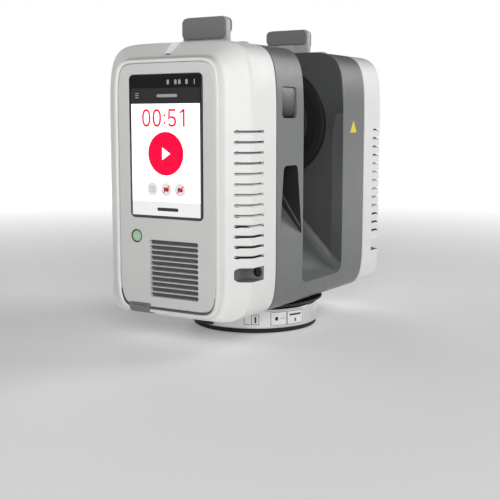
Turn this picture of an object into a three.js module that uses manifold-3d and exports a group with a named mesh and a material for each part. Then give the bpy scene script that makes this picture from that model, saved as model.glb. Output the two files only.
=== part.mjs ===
// Terrestrial laser scanner: two towers on a turntable, with a spinning mirror between them.
// Millimetres, +Z up. The origin is the centre of the foot's underside, on the turning axis.
// The tower with the display faces -Y, and the other tower holds the mirror's drive and the batteries.

import * as THREE from 'three';
import { mergeVertices } from 'three/addons/utils/BufferGeometryUtils.js';
import Module from 'manifold-3d';

const wasm = await Module();
wasm.setup();

// ---------------------------------------------------------------- driving dimensions

const GAP = 0.3; // clearance between pieces that touch

const HALF_WIDTH = 60; // body, along X
const BODY_BOTTOM = 22;
const BODY_TOP = 209;
const FACE = 116.5; // front and rear end of the body, along Y
const TOP_POWER = 7.2; // superellipse exponents of the body's upper and lower corners
const BOTTOM_POWER = 9;
const PLATE_POWER = 11;
const OUTLINE_POINTS = 40;

const TOWER_INNER = 31.5; // half the space between the towers
const FRAME_END = 69.2; // where a tower's grey frame stops
const GASKET_START = 69.5;
const GASKET_END = 70.1;
const SHELL_START = 70.4; // where the white shell begins
const CREASE = 100.7; // where the shell's side turns into its front chamfer
const CREASE_SWEEP = 8.8; // how far the crease runs forward at the bottom corner
const CREASE_BEND = 52; // height at which it starts to do so
const CHAMFER_END = 110.9;
const LIP_SIDE = 114.9;
const SHELL_WALL = 2.6;
const NOTCH_DEPTH = 1.9;
const FRAME_WALL = 3.5;
const TOWER_WALL = 39; // inside face of the wall between tower and mirror space
const DISH_DEPTH = 3.5;

const PLATE_HALF_WIDTH = 40.2;
const PLATE_BOTTOM = 28.4;
const PLATE_TOP = 194.8;
const PLATE_BACK = 113.1;
const PLATE_FRONT = 115.6;

const SCREEN_HALF_WIDTH = 30;
const SCREEN_BOTTOM = 90.9;
const SCREEN_TOP = 186.9;

const BUTTON = { x: -25.4, z: 77.5, radius: 3.9 };
const GRILLE = { x: 5.8, halfLength: 20, first: 37.5, pitch: 3.65, count: 11, height: 2.4 };
const VENT = { first: 66.7, pitch: 6.87, count: 13, height: 1.8, near: 86.6, far: 107.6 };
const RECESS = { bottom: 50, top: 59.5, floor: 46.5, corner: 2.8, wall: 1.5 };
const SHORT_RECESS_END = 98.2; // on the sides without vents it stops short of the crease
// The housing screws run along Y, from the recess's rear wall into a boss in the tower's frame.
const SCREW = { x: 55, z: 54.75, bore: 3.35, seat: 82, face: 85.1, shank: 1.5, tip: 60.8 };
const FLAP = { left: -32, right: -14.5, top: 30.5, back: 109, pivotY: 110.1, pivotZ: 24.4, hinge: 1.1 };

const MIRROR_AXIS_Z = 155;
const MIRROR_RADIUS = 27;
const HUB_RING_RADIUS = 43.5;

const CAMERA_WINDOW = { y: 52.4, z: 168.9, halfWidth: 10.2, halfHeight: 10.7 };
const NICHE = { top: 125.5, bottom: 76, floor: 42, rise: 25 };

const GRIP = { x: -4, halfWidth: 19, inner: 57, outer: 62, bottom: 209.3, top: 229.3 };

const DOOR = { halfWidth: 26, bottom: 62, top: 146, thickness: 3.2, front: 115.4, edge: 1.6 };

const FLANGE_BOTTOM = 18.4;
const FLANGE_TOP = 21.7;
const DRUM_RADIUS = 48.7;
const DRUM_BOTTOM = 3.3;
const DRUM_TOP = 18;
const DRUM_INSIDE = 44.2;
const DRUM_FLOOR = 7.3;
const RELEASE_ANGLE = THREE.MathUtils.degToRad(-36); // from straight ahead, towards -X

// ---------------------------------------------------------------- solids

// A closed manifold from a geometry, with its shared corners welded.
function solid(geometry) {
  const bare = geometry.clone();
  bare.deleteAttribute('normal');
  bare.deleteAttribute('uv');
  const welded = mergeVertices(bare, 1e-4);
  const mesh = new wasm.Mesh({
    numProp: 3,
    vertProperties: Float32Array.from(welded.attributes.position.array),
    triVerts: Uint32Array.from(welded.index.array),
  });
  return new wasm.Manifold(mesh);
}

function toGeometry(manifold) {
  const mesh = manifold.getMesh();
  const geometry = new THREE.BufferGeometry();
  geometry.setAttribute('position', new THREE.BufferAttribute(mesh.vertProperties, 3));
  geometry.setIndex(new THREE.BufferAttribute(mesh.triVerts, 1));
  geometry.computeVertexNormals();
  return geometry;
}

// A box from its two limits along each axis.
function box([x0, x1], [y0, y1], [z0, z1]) {
  const geometry = new THREE.BoxGeometry(x1 - x0, y1 - y0, z1 - z0);
  geometry.translate((x0 + x1) / 2, (y0 + y1) / 2, (z0 + z1) / 2);
  return solid(geometry);
}

// A cylinder along an axis ('x', 'y' or 'z') between two stations, centred on (u, v) of the
// other two axes in x, y, z order.
function rod(axis, radius, [from, to], [u, v] = [0, 0], segments = 32) {
  const geometry = new THREE.CylinderGeometry(radius, radius, to - from, segments);
  const middle = (from + to) / 2;
  if (axis === 'x') {
    geometry.rotateZ(Math.PI / 2);
    geometry.translate(middle, u, v);
  } else if (axis === 'y') {
    geometry.translate(u, middle, v);
  } else {
    geometry.rotateX(Math.PI / 2);
    geometry.translate(u, v, middle);
  }
  return solid(geometry);
}

function tube(axis, outer, inner, [from, to], centre = [0, 0], segments = 32) {
  const bore = rod(axis, inner, [from - 1, to + 1], centre, segments);
  return rod(axis, outer, [from, to], centre, segments).subtract(bore);
}

// An outline of (x, z) points, extruded along Y.
function prismAlongY(points, [from, to]) {
  const shape = new THREE.Shape(points.map(([x, z]) => new THREE.Vector2(x, z)));
  const geometry = new THREE.ExtrudeGeometry(shape, { depth: to - from, bevelEnabled: false });
  geometry.rotateX(Math.PI / 2);
  geometry.translate(0, to, 0);
  return solid(geometry);
}

// An outline of (y, z) points, extruded along X.
function prismAlongX(points, [from, to]) {
  const shape = new THREE.Shape(points.map(([y, z]) => new THREE.Vector2(y, z)));
  const geometry = new THREE.ExtrudeGeometry(shape, { depth: to - from, bevelEnabled: false });
  geometry.rotateX(Math.PI / 2);
  geometry.rotateZ(Math.PI / 2);
  geometry.translate(from, 0, 0);
  return solid(geometry);
}

// A solid through a row of convex loops that all have the same number of points.
function loft(loops) {
  const count = loops[0].length;
  const positions = loops.flat().flatMap((point) => [point.x, point.y, point.z]);
  const faces = [];
  for (let ring = 0; ring < loops.length - 1; ring += 1) {
    for (let i = 0; i < count; i += 1) {
      const next = (i + 1) % count;
      const a = ring * count;
      const b = a + count;
      faces.push([a + i, a + next, b + next], [a + i, b + next, b + i]);
    }
  }
  const last = (loops.length - 1) * count;
  for (let i = 1; i < count - 1; i += 1) {
    faces.push([0, i + 1, i], [last, last + i, last + i + 1]);
  }
  const corner = (index) => new THREE.Vector3().fromArray(positions, index * 3);
  const volume = faces.reduce(
    (sum, [a, b, c]) => sum + corner(a).dot(corner(b).cross(corner(c))), 0);
  const outward = volume > 0 ? faces : faces.map(([a, b, c]) => [a, c, b]);
  const geometry = new THREE.BufferGeometry();
  geometry.setAttribute('position', new THREE.Float32BufferAttribute(positions, 3));
  geometry.setIndex(outward.flat());
  return solid(geometry);
}

// The body's outline in X and Z: a superellipse whose lower corners are tighter than its upper.
function outline(halfWidth, bottom, top, topPower = TOP_POWER, bottomPower = BOTTOM_POWER) {
  const middle = (bottom + top) / 2;
  const halfHeight = (top - bottom) / 2;
  const bend = (value, power) => Math.sign(value) * Math.abs(value) ** (2 / power);
  const points = [];
  for (let step = 0; step < OUTLINE_POINTS; step += 1) {
    const angle = (step / OUTLINE_POINTS) * 2 * Math.PI;
    const across = Math.abs(Math.cos(angle)) < 1e-9 ? 0 : Math.cos(angle);
    const along = Math.abs(Math.sin(angle)) < 1e-9 ? 0 : Math.sin(angle);
    const power = along >= 0 ? topPower : bottomPower;
    points.push([halfWidth * bend(across, power), middle + halfHeight * bend(along, power)]);
  }
  return points;
}

function plateOutline(halfWidth, bottom, top) {
  return outline(halfWidth, bottom, top, PLATE_POWER, PLATE_POWER);
}

// A loop of the body at a distance ahead of the turning axis; the distance may vary with height.
function ahead(points, distance) {
  const at = typeof distance === 'function' ? distance : () => distance;
  return points.map(([x, z]) => new THREE.Vector3(x, -at(z), z));
}

function bodyOutline(inset = 0) {
  return outline(HALF_WIDTH - inset, BODY_BOTTOM + inset, BODY_TOP - inset);
}

// How far ahead the crease lies at a height: straight, then swept forward at the bottom corner.
function creaseAt(height, setback = 0) {
  const t = THREE.MathUtils.clamp((CREASE_BEND - height) / (CREASE_BEND - BODY_BOTTOM), 0, 1);
  return CREASE - setback + CREASE_SWEEP * t * t;
}

// A slot with round ends, along X, through a plate that faces -Y.
function slotPoints(x, z, halfLength, height) {
  const radius = height / 2;
  const points = [];
  for (let step = 0; step <= 4; step += 1) {
    const angle = -Math.PI / 2 + (step / 4) * Math.PI;
    points.push([x + halfLength - radius + radius * Math.cos(angle), z + radius * Math.sin(angle)]);
  }
  for (let step = 0; step <= 4; step += 1) {
    const angle = Math.PI / 2 + (step / 4) * Math.PI;
    points.push([x - halfLength + radius + radius * Math.cos(angle), z + radius * Math.sin(angle)]);
  }
  return points;
}

// A rectangle with round corners, as (u, v) points.
function roundedRectangle([u0, u1], [v0, v1], radius, steps = 3) {
  const corners = [
    [u1 - radius, v0 + radius, -90],
    [u1 - radius, v1 - radius, 0],
    [u0 + radius, v1 - radius, 90],
    [u0 + radius, v0 + radius, 180],
  ];
  const points = [];
  for (const [u, v, start] of corners) {
    for (let step = 0; step <= steps; step += 1) {
      const angle = THREE.MathUtils.degToRad(start + (step / steps) * 90);
      points.push([u + radius * Math.cos(angle), v + radius * Math.sin(angle)]);
    }
  }
  return points;
}

function unite(...solids) {
  return solids.reduce((whole, piece) => whole.add(piece));
}

function without(whole, ...cutters) {
  return cutters.reduce((rest, cutter) => rest.subtract(cutter), whole);
}

const bothSides = (make) => [make(1), make(-1)];

// ---------------------------------------------------------------- finishes

function finish(color, roughness, metalness = 0) {
  return () => new THREE.MeshStandardMaterial({ color, roughness, metalness });
}

const whitePlastic = finish(0xe4e6e2, 0.45);
const greyPlastic = finish(0x84888a, 0.5);
const plateGrey = finish(0xc2c4c1, 0.4);
const lightGrey = finish(0xb4b6b4, 0.45);
const darkRubber = finish(0x6f7070, 0.8);
const blackPlastic = finish(0x1c1d1e, 0.55);
const blackRubber = finish(0x17181a, 0.85);
const satinAluminium = finish(0xd8dadb, 0.3, 1);
const steel = finish(0x9a9c9e, 0.35, 1);
const brass = finish(0xb08d4a, 0.4, 1);
const copper = finish(0xa05a30, 0.5, 1);
const magnet = finish(0x55575a, 0.5, 0.8);
const glass = finish(0x101214, 0.08);
const clearGlass = finish(0x8fa3a8, 0.05);
const mirrorGlass = finish(0xf4f6f8, 0.03, 1);
const boardGreen = finish(0x1f5a34, 0.6);
const labelWhite = finish(0xf6f6f4, 0.4);
const buttonGreen = finish(0xbed1be, 0.4);

// ---------------------------------------------------------------- scene graph

const scanner = new THREE.Group();
const base = new THREE.Group();
const head = new THREE.Group();
const frontTower = new THREE.Group();
const rearTower = new THREE.Group();
rearTower.rotation.z = Math.PI; // modelled like the front tower, then turned to face +Y
scanner.add(base, head);
head.add(frontTower, rearTower);

function add(parent, name, manifold, material) {
  const mesh = new THREE.Mesh(toGeometry(manifold), material());
  mesh.name = name;
  parent.add(mesh);
  return mesh;
}

// ---------------------------------------------------------------- base

function footRing() {
  return tube('z', 48, 30, [0, 3]);
}

// The release button's block, before it is turned to its place. It faces -Y.
function releaseBlock(clearance) {
  const width = [-17 - clearance, 17 + clearance];
  const step = [0, 22 + clearance];
  const height = [4.6 - clearance, 17.4 + clearance * 3];
  const stepHeight = [4.6 - clearance, 8.2 + clearance];
  return unite(box(width, [-60, -30], height), box(step, [-60, -30], stepHeight));
}

function baseHousing() {
  const cup = rod('z', DRUM_RADIUS, [DRUM_BOTTOM, DRUM_TOP], [0, 0], 64);
  const inside = rod('z', DRUM_INSIDE, [DRUM_FLOOR, DRUM_TOP + 1], [0, 0], 48);
  const hole = rod('z', 12 + GAP, [0, DRUM_FLOOR + 1]);
  const core = rod('z', 42.6, [0, 30], [0, 0], 48);
  const pocket = releaseBlock(GAP).subtract(core);
  const turned = pocket.rotate([0, 0, THREE.MathUtils.radToDeg(RELEASE_ANGLE)]);
  return without(cup, inside, hole, turned);
}

function releaseButton() {
  const sleeve = rod('z', 51.3, [0, 20], [0, 0], 64).subtract(rod('z', 45, [-1, 21], [0, 0], 64));
  return sleeve.intersect(releaseBlock(0));
}

function tripodInsert() {
  const collar = rod('z', 12, [1, DRUM_FLOOR]);
  const flange = rod('z', 20, [0.9, 3]);
  return unite(collar, flange).subtract(rod('z', 7.9, [0, 10]));
}

// A thin band round the front right of the drum, between two bearings from straight ahead.
function labelBand() {
  const inner = DRUM_RADIUS + GAP;
  const outer = inner + 0.4;
  const first = THREE.MathUtils.degToRad(-90 - 4);
  const last = THREE.MathUtils.degToRad(-90 + 79);
  const shape = new THREE.Shape();
  shape.absarc(0, 0, outer, first, last, false);
  shape.absarc(0, 0, inner, last, first, true);
  const settings = { depth: 11.5, bevelEnabled: false, curveSegments: 16 };
  const geometry = new THREE.ExtrudeGeometry(shape, settings);
  geometry.translate(0, 0, 5);
  return solid(geometry);
}

function motorStator() {
  const ring = tube('z', 41.5, 36, [8.5, 16.5]);
  const teeth = 12;
  let slotted = ring;
  for (let i = 0; i < teeth; i += 1) {
    const slot = box([34, 39.5], [-2.5, 2.5], [7, 18]);
    slotted = slotted.subtract(slot.rotate([0, 0, ((i + 0.5) * 360) / teeth]));
  }
  return slotted;
}

add(base, 'base_foot', footRing(), blackRubber);
add(base, 'base_housing', baseHousing(), satinAluminium);
add(base, 'base_label', labelBand(), labelWhite);
add(base, 'tripod_insert', tripodInsert(), brass);
add(base, 'azimuth_bearing_outer', tube('z', 28.6, 22, [9.5, 16.5]), steel);
add(base, 'azimuth_motor_stator', motorStator(), copper);
add(base, 'slip_ring', rod('z', 6.4, [8, 34], [0, 0], 20), blackPlastic);
const release = add(base, 'release_button', releaseButton(), blackPlastic);
release.rotation.z = RELEASE_ANGLE;

// ---------------------------------------------------------------- turntable

function turntableFlange() {
  const profile = [
    [20, FLANGE_BOTTOM],
    [48, FLANGE_BOTTOM],
    [52.6, FLANGE_BOTTOM + 2.2],
    [52.6, FLANGE_TOP],
    [20, FLANGE_TOP],
    [20, FLANGE_BOTTOM],
  ];
  const points = profile.map(([radius, height]) => new THREE.Vector2(radius, height));
  const geometry = new THREE.LatheGeometry(points, 56);
  geometry.rotateX(Math.PI / 2);
  return solid(geometry);
}

function azimuthSpindle() {
  const shaft = rod('z', 14, [8.6, 30]);
  const plate = rod('z', 26, [FLANGE_TOP + GAP, 26]);
  return unite(shaft, plate).subtract(rod('z', 7, [0, 40], [0, 0], 20));
}

add(head, 'turntable_flange', turntableFlange(), blackPlastic);
add(head, 'azimuth_spindle', azimuthSpindle(), steel);
add(head, 'azimuth_bearing_inner', tube('z', 21.6, 14 + GAP, [9.5, 16.5]), steel);
add(head, 'azimuth_motor_rotor', tube('z', 35.4, 32, [9, FLANGE_BOTTOM - GAP]), magnet);
add(head, 'azimuth_encoder_disc', tube('z', 31, 14 + GAP, [17, 17.8]), clearGlass);

// ---------------------------------------------------------------- chassis

// The shallow dish in a tower's inner wall: full depth below, fading out near the top. With a
// clearance it is the plug that fills the dish, clear of its floor and its sloping borders.
function dish(clearance) {
  const near = TOWER_INNER - 1.5;
  const face = TOWER_INNER - 0.1;
  const deep = TOWER_INNER + DISH_DEPTH - clearance;
  const border = clearance * 4;
  const level = (z, halfFloor, floor) => {
    const half = [[HALF_WIDTH + 1 - border, near], [HALF_WIDTH + 1 - border, face],
      [halfFloor - border, floor]];
    const right = half.map(([x, y]) => new THREE.Vector3(x, -y, z));
    const left = half.reverse().map(([x, y]) => new THREE.Vector3(-x, -y, z));
    return [...right, ...left];
  };
  return loft([level(21, 49, deep), level(146, 49, deep), level(173, 58.5, face + 0.05)]);
}

// The camera niche's opening in Y and Z, grown by a margin.
function nichePoints(grow) {
  return [
    [-65.4 - grow, NICHE.bottom - grow],
    [-34 + grow, NICHE.bottom - grow],
    [-40.5 + grow, NICHE.top + grow],
    [-60 - grow, NICHE.top + grow],
  ];
}

// The niche's hollow on the +X side: a trapezoid opening whose floor climbs inwards.
function nicheHollow() {
  const opening = prismAlongX(nichePoints(0), [NICHE.floor, HALF_WIDTH + 1]);
  const rise = NICHE.rise;
  const ramp = [[HALF_WIDTH + 1, NICHE.bottom - 1], [HALF_WIDTH, NICHE.bottom],
    [NICHE.floor - 1, NICHE.bottom + rise], [NICHE.floor - 1, NICHE.bottom - 1]];
  return opening.subtract(prismAlongY(ramp, [-70, -30]));
}

function nicheLiner() {
  return prismAlongX(nichePoints(1.6), [NICHE.floor - 1.6, HALF_WIDTH - 1]);
}

function cameraOpening(clearance) {
  const { y, z, halfWidth, halfHeight } = CAMERA_WINDOW;
  return roundedRectangle([-y - halfWidth + clearance, -y + halfWidth - clearance],
    [z - halfHeight + clearance, z + halfHeight - clearance], 3);
}

const flip = (solidPiece, side) => (side > 0 ? solidPiece : solidPiece.mirror([1, 0, 0]));

function towerOutside() {
  return loft([ahead(bodyOutline(), TOWER_INNER), ahead(bodyOutline(), FRAME_END)]);
}

function towerBlank() {
  const hollowOutline = bodyOutline(FRAME_WALL);
  const inside = loft([ahead(hollowOutline, TOWER_WALL), ahead(hollowOutline, FRAME_END + 1)]);
  return without(towerOutside(), inside, dish(0));
}

// The thickened spot in a frame's wall that a housing screw threads into, and its hole.
function screwBoss() {
  const { x, z } = SCREW;
  return box([x - 5.5, HALF_WIDTH - 2], [-FRAME_END, -SCREW.tip + 3], [z - 5.5, z + 5.5]);
}

function screwThread() {
  return rod('y', SCREW.shank + GAP, [-FRAME_END - 1, -SCREW.tip + GAP], [SCREW.x, SCREW.z], 16);
}

function frontTowerFrame() {
  const liners = bothSides((side) => flip(nicheLiner(), side).intersect(towerOutside()));
  const hollows = bothSides((side) => flip(nicheHollow(), side));
  const windows = bothSides((side) => flip(prismAlongX(cameraOpening(0), [50, 61]), side));
  const bore = rod('y', 30 + GAP, [-TOWER_WALL - 1, -TOWER_INNER + 1], [0, MIRROR_AXIS_Z]);
  const bosses = bothSides((side) => flip(screwBoss(), side));
  const threads = bothSides((side) => flip(screwThread(), side));
  return without(unite(towerBlank(), ...liners, ...bosses), ...hollows, ...windows, ...threads, bore);
}

function rearTowerFrame() {
  const radius = HUB_RING_RADIUS + GAP;
  const bore = rod('y', radius, [-TOWER_WALL - 1, -TOWER_INNER + 1], [0, MIRROR_AXIS_Z], 40);
  const bosses = bothSides((side) => flip(screwBoss(), side));
  const threads = bothSides((side) => flip(screwThread(), side));
  return without(unite(towerBlank(), ...bosses), ...threads, bore);
}

// The low saddle between the towers: a tent that climbs from the sides to a rounded ridge.
function chassisBridge() {
  const ridge = [[-61, 20], [61, 20], [61, 38.5], [HALF_WIDTH, 38.5], [50, 45.2], [24, 71.5],
    [12, 79], [0, 81], [-12, 79], [-24, 71.5], [-50, 45.2], [-HALF_WIDTH, 38.5], [-61, 38.5]];
  const reach = TOWER_INNER + DISH_DEPTH;
  const tent = prismAlongY(ridge, [-reach, reach]);
  const width = TOWER_INNER - GAP;
  const middle = loft([ahead(bodyOutline(), width), ahead(bodyOutline(), -width)]);
  const frontPlug = dish(GAP);
  const rearPlug = frontPlug.mirror([0, 1, 0]);
  const envelope = unite(middle, frontPlug, rearPlug);
  const body = loft([ahead(bodyOutline(), reach), ahead(bodyOutline(), -reach)]);
  const drive = box([-44, 44], [-27, 27], [BODY_BOTTOM - 1, 38]);
  return tent.intersect(envelope).intersect(body).subtract(drive);
}

add(head, 'chassis_bridge', chassisBridge(), greyPlastic);
add(frontTower, 'front_tower_frame', frontTowerFrame(), greyPlastic);
add(rearTower, 'rear_tower_frame', rearTowerFrame(), greyPlastic);

// ---------------------------------------------------------------- shells, gaskets and plates

function gasket() {
  const outside = loft([ahead(bodyOutline(0.8), GASKET_START), ahead(bodyOutline(0.8), GASKET_END)]);
  const hole = bodyOutline(3);
  return outside.subtract(loft([ahead(hole, GASKET_START - 1), ahead(hole, GASKET_END + 1)]));
}

function shellOutside() {
  return loft([
    ahead(bodyOutline(), SHELL_START),
    ahead(bodyOutline(), (height) => creaseAt(height)),
    ahead(outline(44.4, 24.2, 198.8, 9, 9), CHAMFER_END),
    ahead(outline(43.4, 24.6, 197.6, 10, 10), LIP_SIDE),
    ahead(plateOutline(42.3, 25.6, 196.4), FACE),
  ]);
}

function shellInside() {
  return loft([
    ahead(bodyOutline(SHELL_WALL), SHELL_START - 1),
    ahead(bodyOutline(SHELL_WALL), (height) => creaseAt(height, 1.2)),
    ahead(outline(41.2, 27.6, 195.4, 9, 9), CHAMFER_END - 1.4),
  ]);
}

// The two openings that a plate drops into: the ledge that it rests on, and its own outline.
function plateSeat() {
  const ledge = plateOutline(PLATE_HALF_WIDTH - 2.4, PLATE_BOTTOM + 2.4, PLATE_TOP - 2.4);
  const seat = plateOutline(PLATE_HALF_WIDTH + 0.4, PLATE_BOTTOM - 1.4, PLATE_TOP + 0.4);
  return unite(
    loft([ahead(ledge, CHAMFER_END - 3), ahead(ledge, FACE + 1)]),
    loft([ahead(seat, PLATE_BACK - GAP), ahead(seat, FACE + 1)]),
  );
}

function ventSlots(side) {
  const slots = [];
  for (let row = 0; row < VENT.count; row += 1) {
    const z = VENT.first + row * VENT.pitch;
    const height = [z - VENT.height / 2, z + VENT.height / 2];
    slots.push(flip(box([45, 62], [-VENT.far, -VENT.near], height), side));
  }
  return slots;
}

// The way in for a screwdriver: square towards the frame, with the screw's bore in that wall, and
// round-cornered ahead.
function recessHollow(side, end) {
  const { bottom, top, floor, corner } = RECESS;
  const points = [[-VENT.near, bottom], [-VENT.near, top]];
  for (const [z, start] of [[top - corner, 90], [bottom + corner, 180]]) {
    for (let step = 0; step <= 4; step += 1) {
      const angle = THREE.MathUtils.degToRad(start + (step / 4) * 90);
      points.push([-end + corner + corner * Math.cos(angle), z + corner * Math.sin(angle)]);
    }
  }
  const pocket = prismAlongX(points, [floor, 62]);
  const centre = [SCREW.x, SCREW.z];
  const bore = rod('y', SCREW.bore, [-VENT.near - 1, -SCREW.seat], centre, 24);
  const shankHole = rod('y', SCREW.shank + GAP, [-SCREW.seat - 1, -SHELL_START], centre, 16);
  return flip(unite(pocket, bore, shankHole), side);
}

// The recess's walls, with the solid block behind it that the screw clamps.
function recessLiner(side, end) {
  const { bottom, top, floor, wall } = RECESS;
  const liner = box([floor - wall, 59], [-end - wall, -SHELL_START - 0.6],
    [bottom - wall, top + wall]);
  return flip(liner, side);
}

// A shell with its vents and its long recess on one side only, and a short recess on the other.
function shell(ventSide) {
  const outside = shellOutside();
  const endOn = (side) => (side === ventSide ? VENT.far : SHORT_RECESS_END);
  const liners = bothSides((side) => recessLiner(side, endOn(side)).intersect(outside));
  const hollows = bothSides((side) => recessHollow(side, endOn(side)));
  const walls = outside.subtract(shellInside());
  const cutters = [...hollows, ...ventSlots(ventSide), browNotch(), plateSeat()];
  return without(unite(walls, ...liners), ...cutters);
}

// The sighting groove down the brow: a V that narrows ahead, with a wide flank facing +X.
function browNotch() {
  const section = ([y, z], left, deepest, right) => {
    const rim = 0.3;
    const across = [[left + rim * (left - deepest), rim], [deepest, -1],
      [right + rim * (right - deepest), rim]];
    const rise = NOTCH_DEPTH * Math.SQRT1_2;
    return across.map(([x, t]) => new THREE.Vector3(x, -y - rise * t, z + rise * t));
  };
  return loft([section([99.2, 210.5], -5.5, 1.2, 3.9), section([109.6, 200.1], -5.6, -1.5, 0.3)]);
}

function flapNotch(clearance) {
  return box([FLAP.left - clearance, FLAP.right + clearance], [-FACE - 2, -FLAP.back + clearance],
    [BODY_BOTTOM - 4, FLAP.top + clearance]);
}

function plateBlank() {
  const edge = plateOutline(PLATE_HALF_WIDTH, PLATE_BOTTOM, PLATE_TOP);
  return loft([ahead(edge, PLATE_BACK), ahead(edge, PLATE_FRONT)]);
}

function frontPlate() {
  const through = [-PLATE_FRONT - 1, -PLATE_BACK + 1];
  const screenHole = prismAlongY(
    roundedRectangle([-SCREEN_HALF_WIDTH - 0.4, SCREEN_HALF_WIDTH + 0.4],
      [SCREEN_BOTTOM - 0.4, SCREEN_TOP + 0.4], 3.4), through);
  const buttonHole = rod('y', BUTTON.radius + 0.6, through, [BUTTON.x, BUTTON.z], 24);
  const grille = [];
  for (let row = 0; row < GRILLE.count; row += 1) {
    const z = GRILLE.first + row * GRILLE.pitch;
    grille.push(prismAlongY(slotPoints(GRILLE.x, z, GRILLE.halfLength, GRILLE.height), through));
  }
  return without(plateBlank(), screenHole, buttonHole, ...grille, flapNotch(GAP));
}

function rearPlate() {
  const through = [-PLATE_FRONT - 1, -PLATE_BACK + 1];
  const opening = box([-DOOR.halfWidth - 0.5, DOOR.halfWidth + 0.5], through,
    [DOOR.bottom - 0.5, DOOR.top + 0.5]);
  return plateBlank().subtract(opening);
}

// A socket-head screw: its head sits in the bore and its shank ends in the frame's boss.
function housingScrew(side) {
  const centre = [SCREW.x, SCREW.z];
  const seat = -SCREW.seat - GAP;
  const cap = rod('y', SCREW.bore - GAP, [-SCREW.face, seat], centre, 24);
  const shank = rod('y', SCREW.shank, [seat - 1, -SCREW.tip], centre, 16);
  const socket = rod('y', 1.45, [-SCREW.face - 1, -SCREW.face + 1.6], centre, 6);
  return flip(unite(cap, shank).subtract(socket), side);
}

// The vents are on the +X side of both towers, which is the rear tower's own -X side.
for (const [tower, word] of [[frontTower, 'front'], [rearTower, 'rear']]) {
  const isFront = word === 'front';
  const skin = isFront ? shell(1).subtract(flapNotch(GAP)) : shell(-1);
  add(tower, `${word}_gasket`, gasket(), blackRubber);
  add(tower, `${word}_shell`, skin, whitePlastic);
  add(tower, `${word}_plate`, isFront ? frontPlate() : rearPlate(), plateGrey);
  add(tower, `${word}_screw_a`, housingScrew(1), steel);
  add(tower, `${word}_screw_b`, housingScrew(-1), steel);
}

// ---------------------------------------------------------------- display, button and boards

function displayGlass() {
  const edge = roundedRectangle([-SCREEN_HALF_WIDTH, SCREEN_HALF_WIDTH],
    [SCREEN_BOTTOM, SCREEN_TOP], 3);
  return prismAlongY(edge, [-PLATE_FRONT - 0.3, -114.2]);
}

function displayModule() {
  const panel = box([-29, 29], [-113.8, -107], [92, 186]);
  const plug = box([-12, 12], [-108, -104], [100, 112]);
  return unite(panel, plug);
}

function mainBoard() {
  const board = box([-42, 42], [-101, -99.4], [88, 190]);
  const chips = [[-30, -12, 150, 168], [4, 26, 140, 162], [-28, -6, 100, 116], [10, 30, 104, 118]]
    .map(([x0, x1, z0, z1]) => box([x0, x1], [-99.5, -97], [z0, z1]));
  return unite(board, ...chips);
}

function powerButton() {
  const centre = [BUTTON.x, BUTTON.z];
  const cap = rod('y', BUTTON.radius, [-PLATE_FRONT - 0.6, -110], centre, 24);
  const collar = rod('y', 5.6, [-111.2, -109], centre, 16);
  return unite(cap, collar);
}

add(frontTower, 'display_glass', displayGlass(), glass);
add(frontTower, 'display_module', displayModule(), blackPlastic);
add(frontTower, 'main_board', mainBoard(), boardGreen);
add(frontTower, 'power_button', powerButton(), buttonGreen);
add(frontTower, 'power_switch',
  box([BUTTON.x - 5, BUTTON.x + 5], [-107.2, -103], [BUTTON.z - 5, BUTTON.z + 5]), blackPlastic);

// ---------------------------------------------------------------- cooling

const FAN = { x: GRILLE.x, z: GRILLE.first + ((GRILLE.count - 1) / 2) * GRILLE.pitch, half: 20 };

function fanFrame() {
  const depth = [-5, 5];
  const frame = box([-FAN.half, FAN.half], depth, [-FAN.half, FAN.half]);
  const duct = rod('y', 18.8, [-6, 6], [0, 0], 28);
  const spokes = [0, 60, 120].map((angle) =>
    box([-19.5, 19.5], [3.2, 5], [-1, 1]).rotate([0, angle, 0]));
  const motorSeat = rod('y', 8, [3.2, 5], [0, 0], 16);
  return unite(frame.subtract(duct), motorSeat, ...spokes);
}

function fanRotor() {
  const hub = rod('y', 7.5, [-4.5, 2.7], [0, 0], 18);
  const blades = [];
  const count = 7;
  for (let i = 0; i < count; i += 1) {
    const blade = box([-0.6, 0.6], [-4, 4], [6, 17.6]).rotate([0, 0, 38]);
    const trimmed = blade.intersect(box([-20, 20], [-4.3, 2.5], [-20, 20]));
    blades.push(trimmed.rotate([0, (i * 360) / count, 0]));
  }
  return unite(hub, ...blades);
}

function heatSink() {
  const plate = box([-34, 36], [-74, -71.5], [34, 84]);
  const fins = [];
  for (let i = 0; i < 11; i += 1) {
    const z = 36 + i * 4.5;
    fins.push(box([-34, 36], [-97, -73.5], [z, z + 1.4]));
  }
  return unite(plate, ...fins);
}

const fan = new THREE.Group();
fan.position.set(FAN.x, -107.5, FAN.z);
frontTower.add(fan);
add(fan, 'fan_frame', fanFrame(), blackPlastic);
add(fan, 'fan_rotor', fanRotor(), blackPlastic);
add(frontTower, 'heat_sink', heatSink(), satinAluminium);

// ---------------------------------------------------------------- port flap

// An L that wraps the lower front edge, with a round hinge end under the body.
function portFlap() {
  const { left, right, top, pivotY, pivotZ, hinge } = FLAP;
  const front = FACE - 0.2;
  const profile = [[-pivotY, pivotZ - hinge], [-front + 2.4, pivotZ - 0.8], [-front + 0.9, 25],
    [-front, 26.4], [-front, top], [-front + 3.3, top], [-front + 3.3, 27.4],
    [-pivotY - 1.2, 27.4], [-pivotY, pivotZ + hinge]];
  const arm = prismAlongX(profile, [left, right]);
  return unite(arm, rod('x', hinge, [left, right], [-pivotY, pivotZ], 16));
}

add(frontTower, 'port_flap', portFlap(), darkRubber);
add(frontTower, 'port_socket', box([-29, -17.5], [-106, -98], [25.4, 29.8]), steel);

// ---------------------------------------------------------------- cameras

function cameraWindow(side) {
  return flip(prismAlongX(cameraOpening(GAP), [57.2, 58.7]), side);
}

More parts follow.
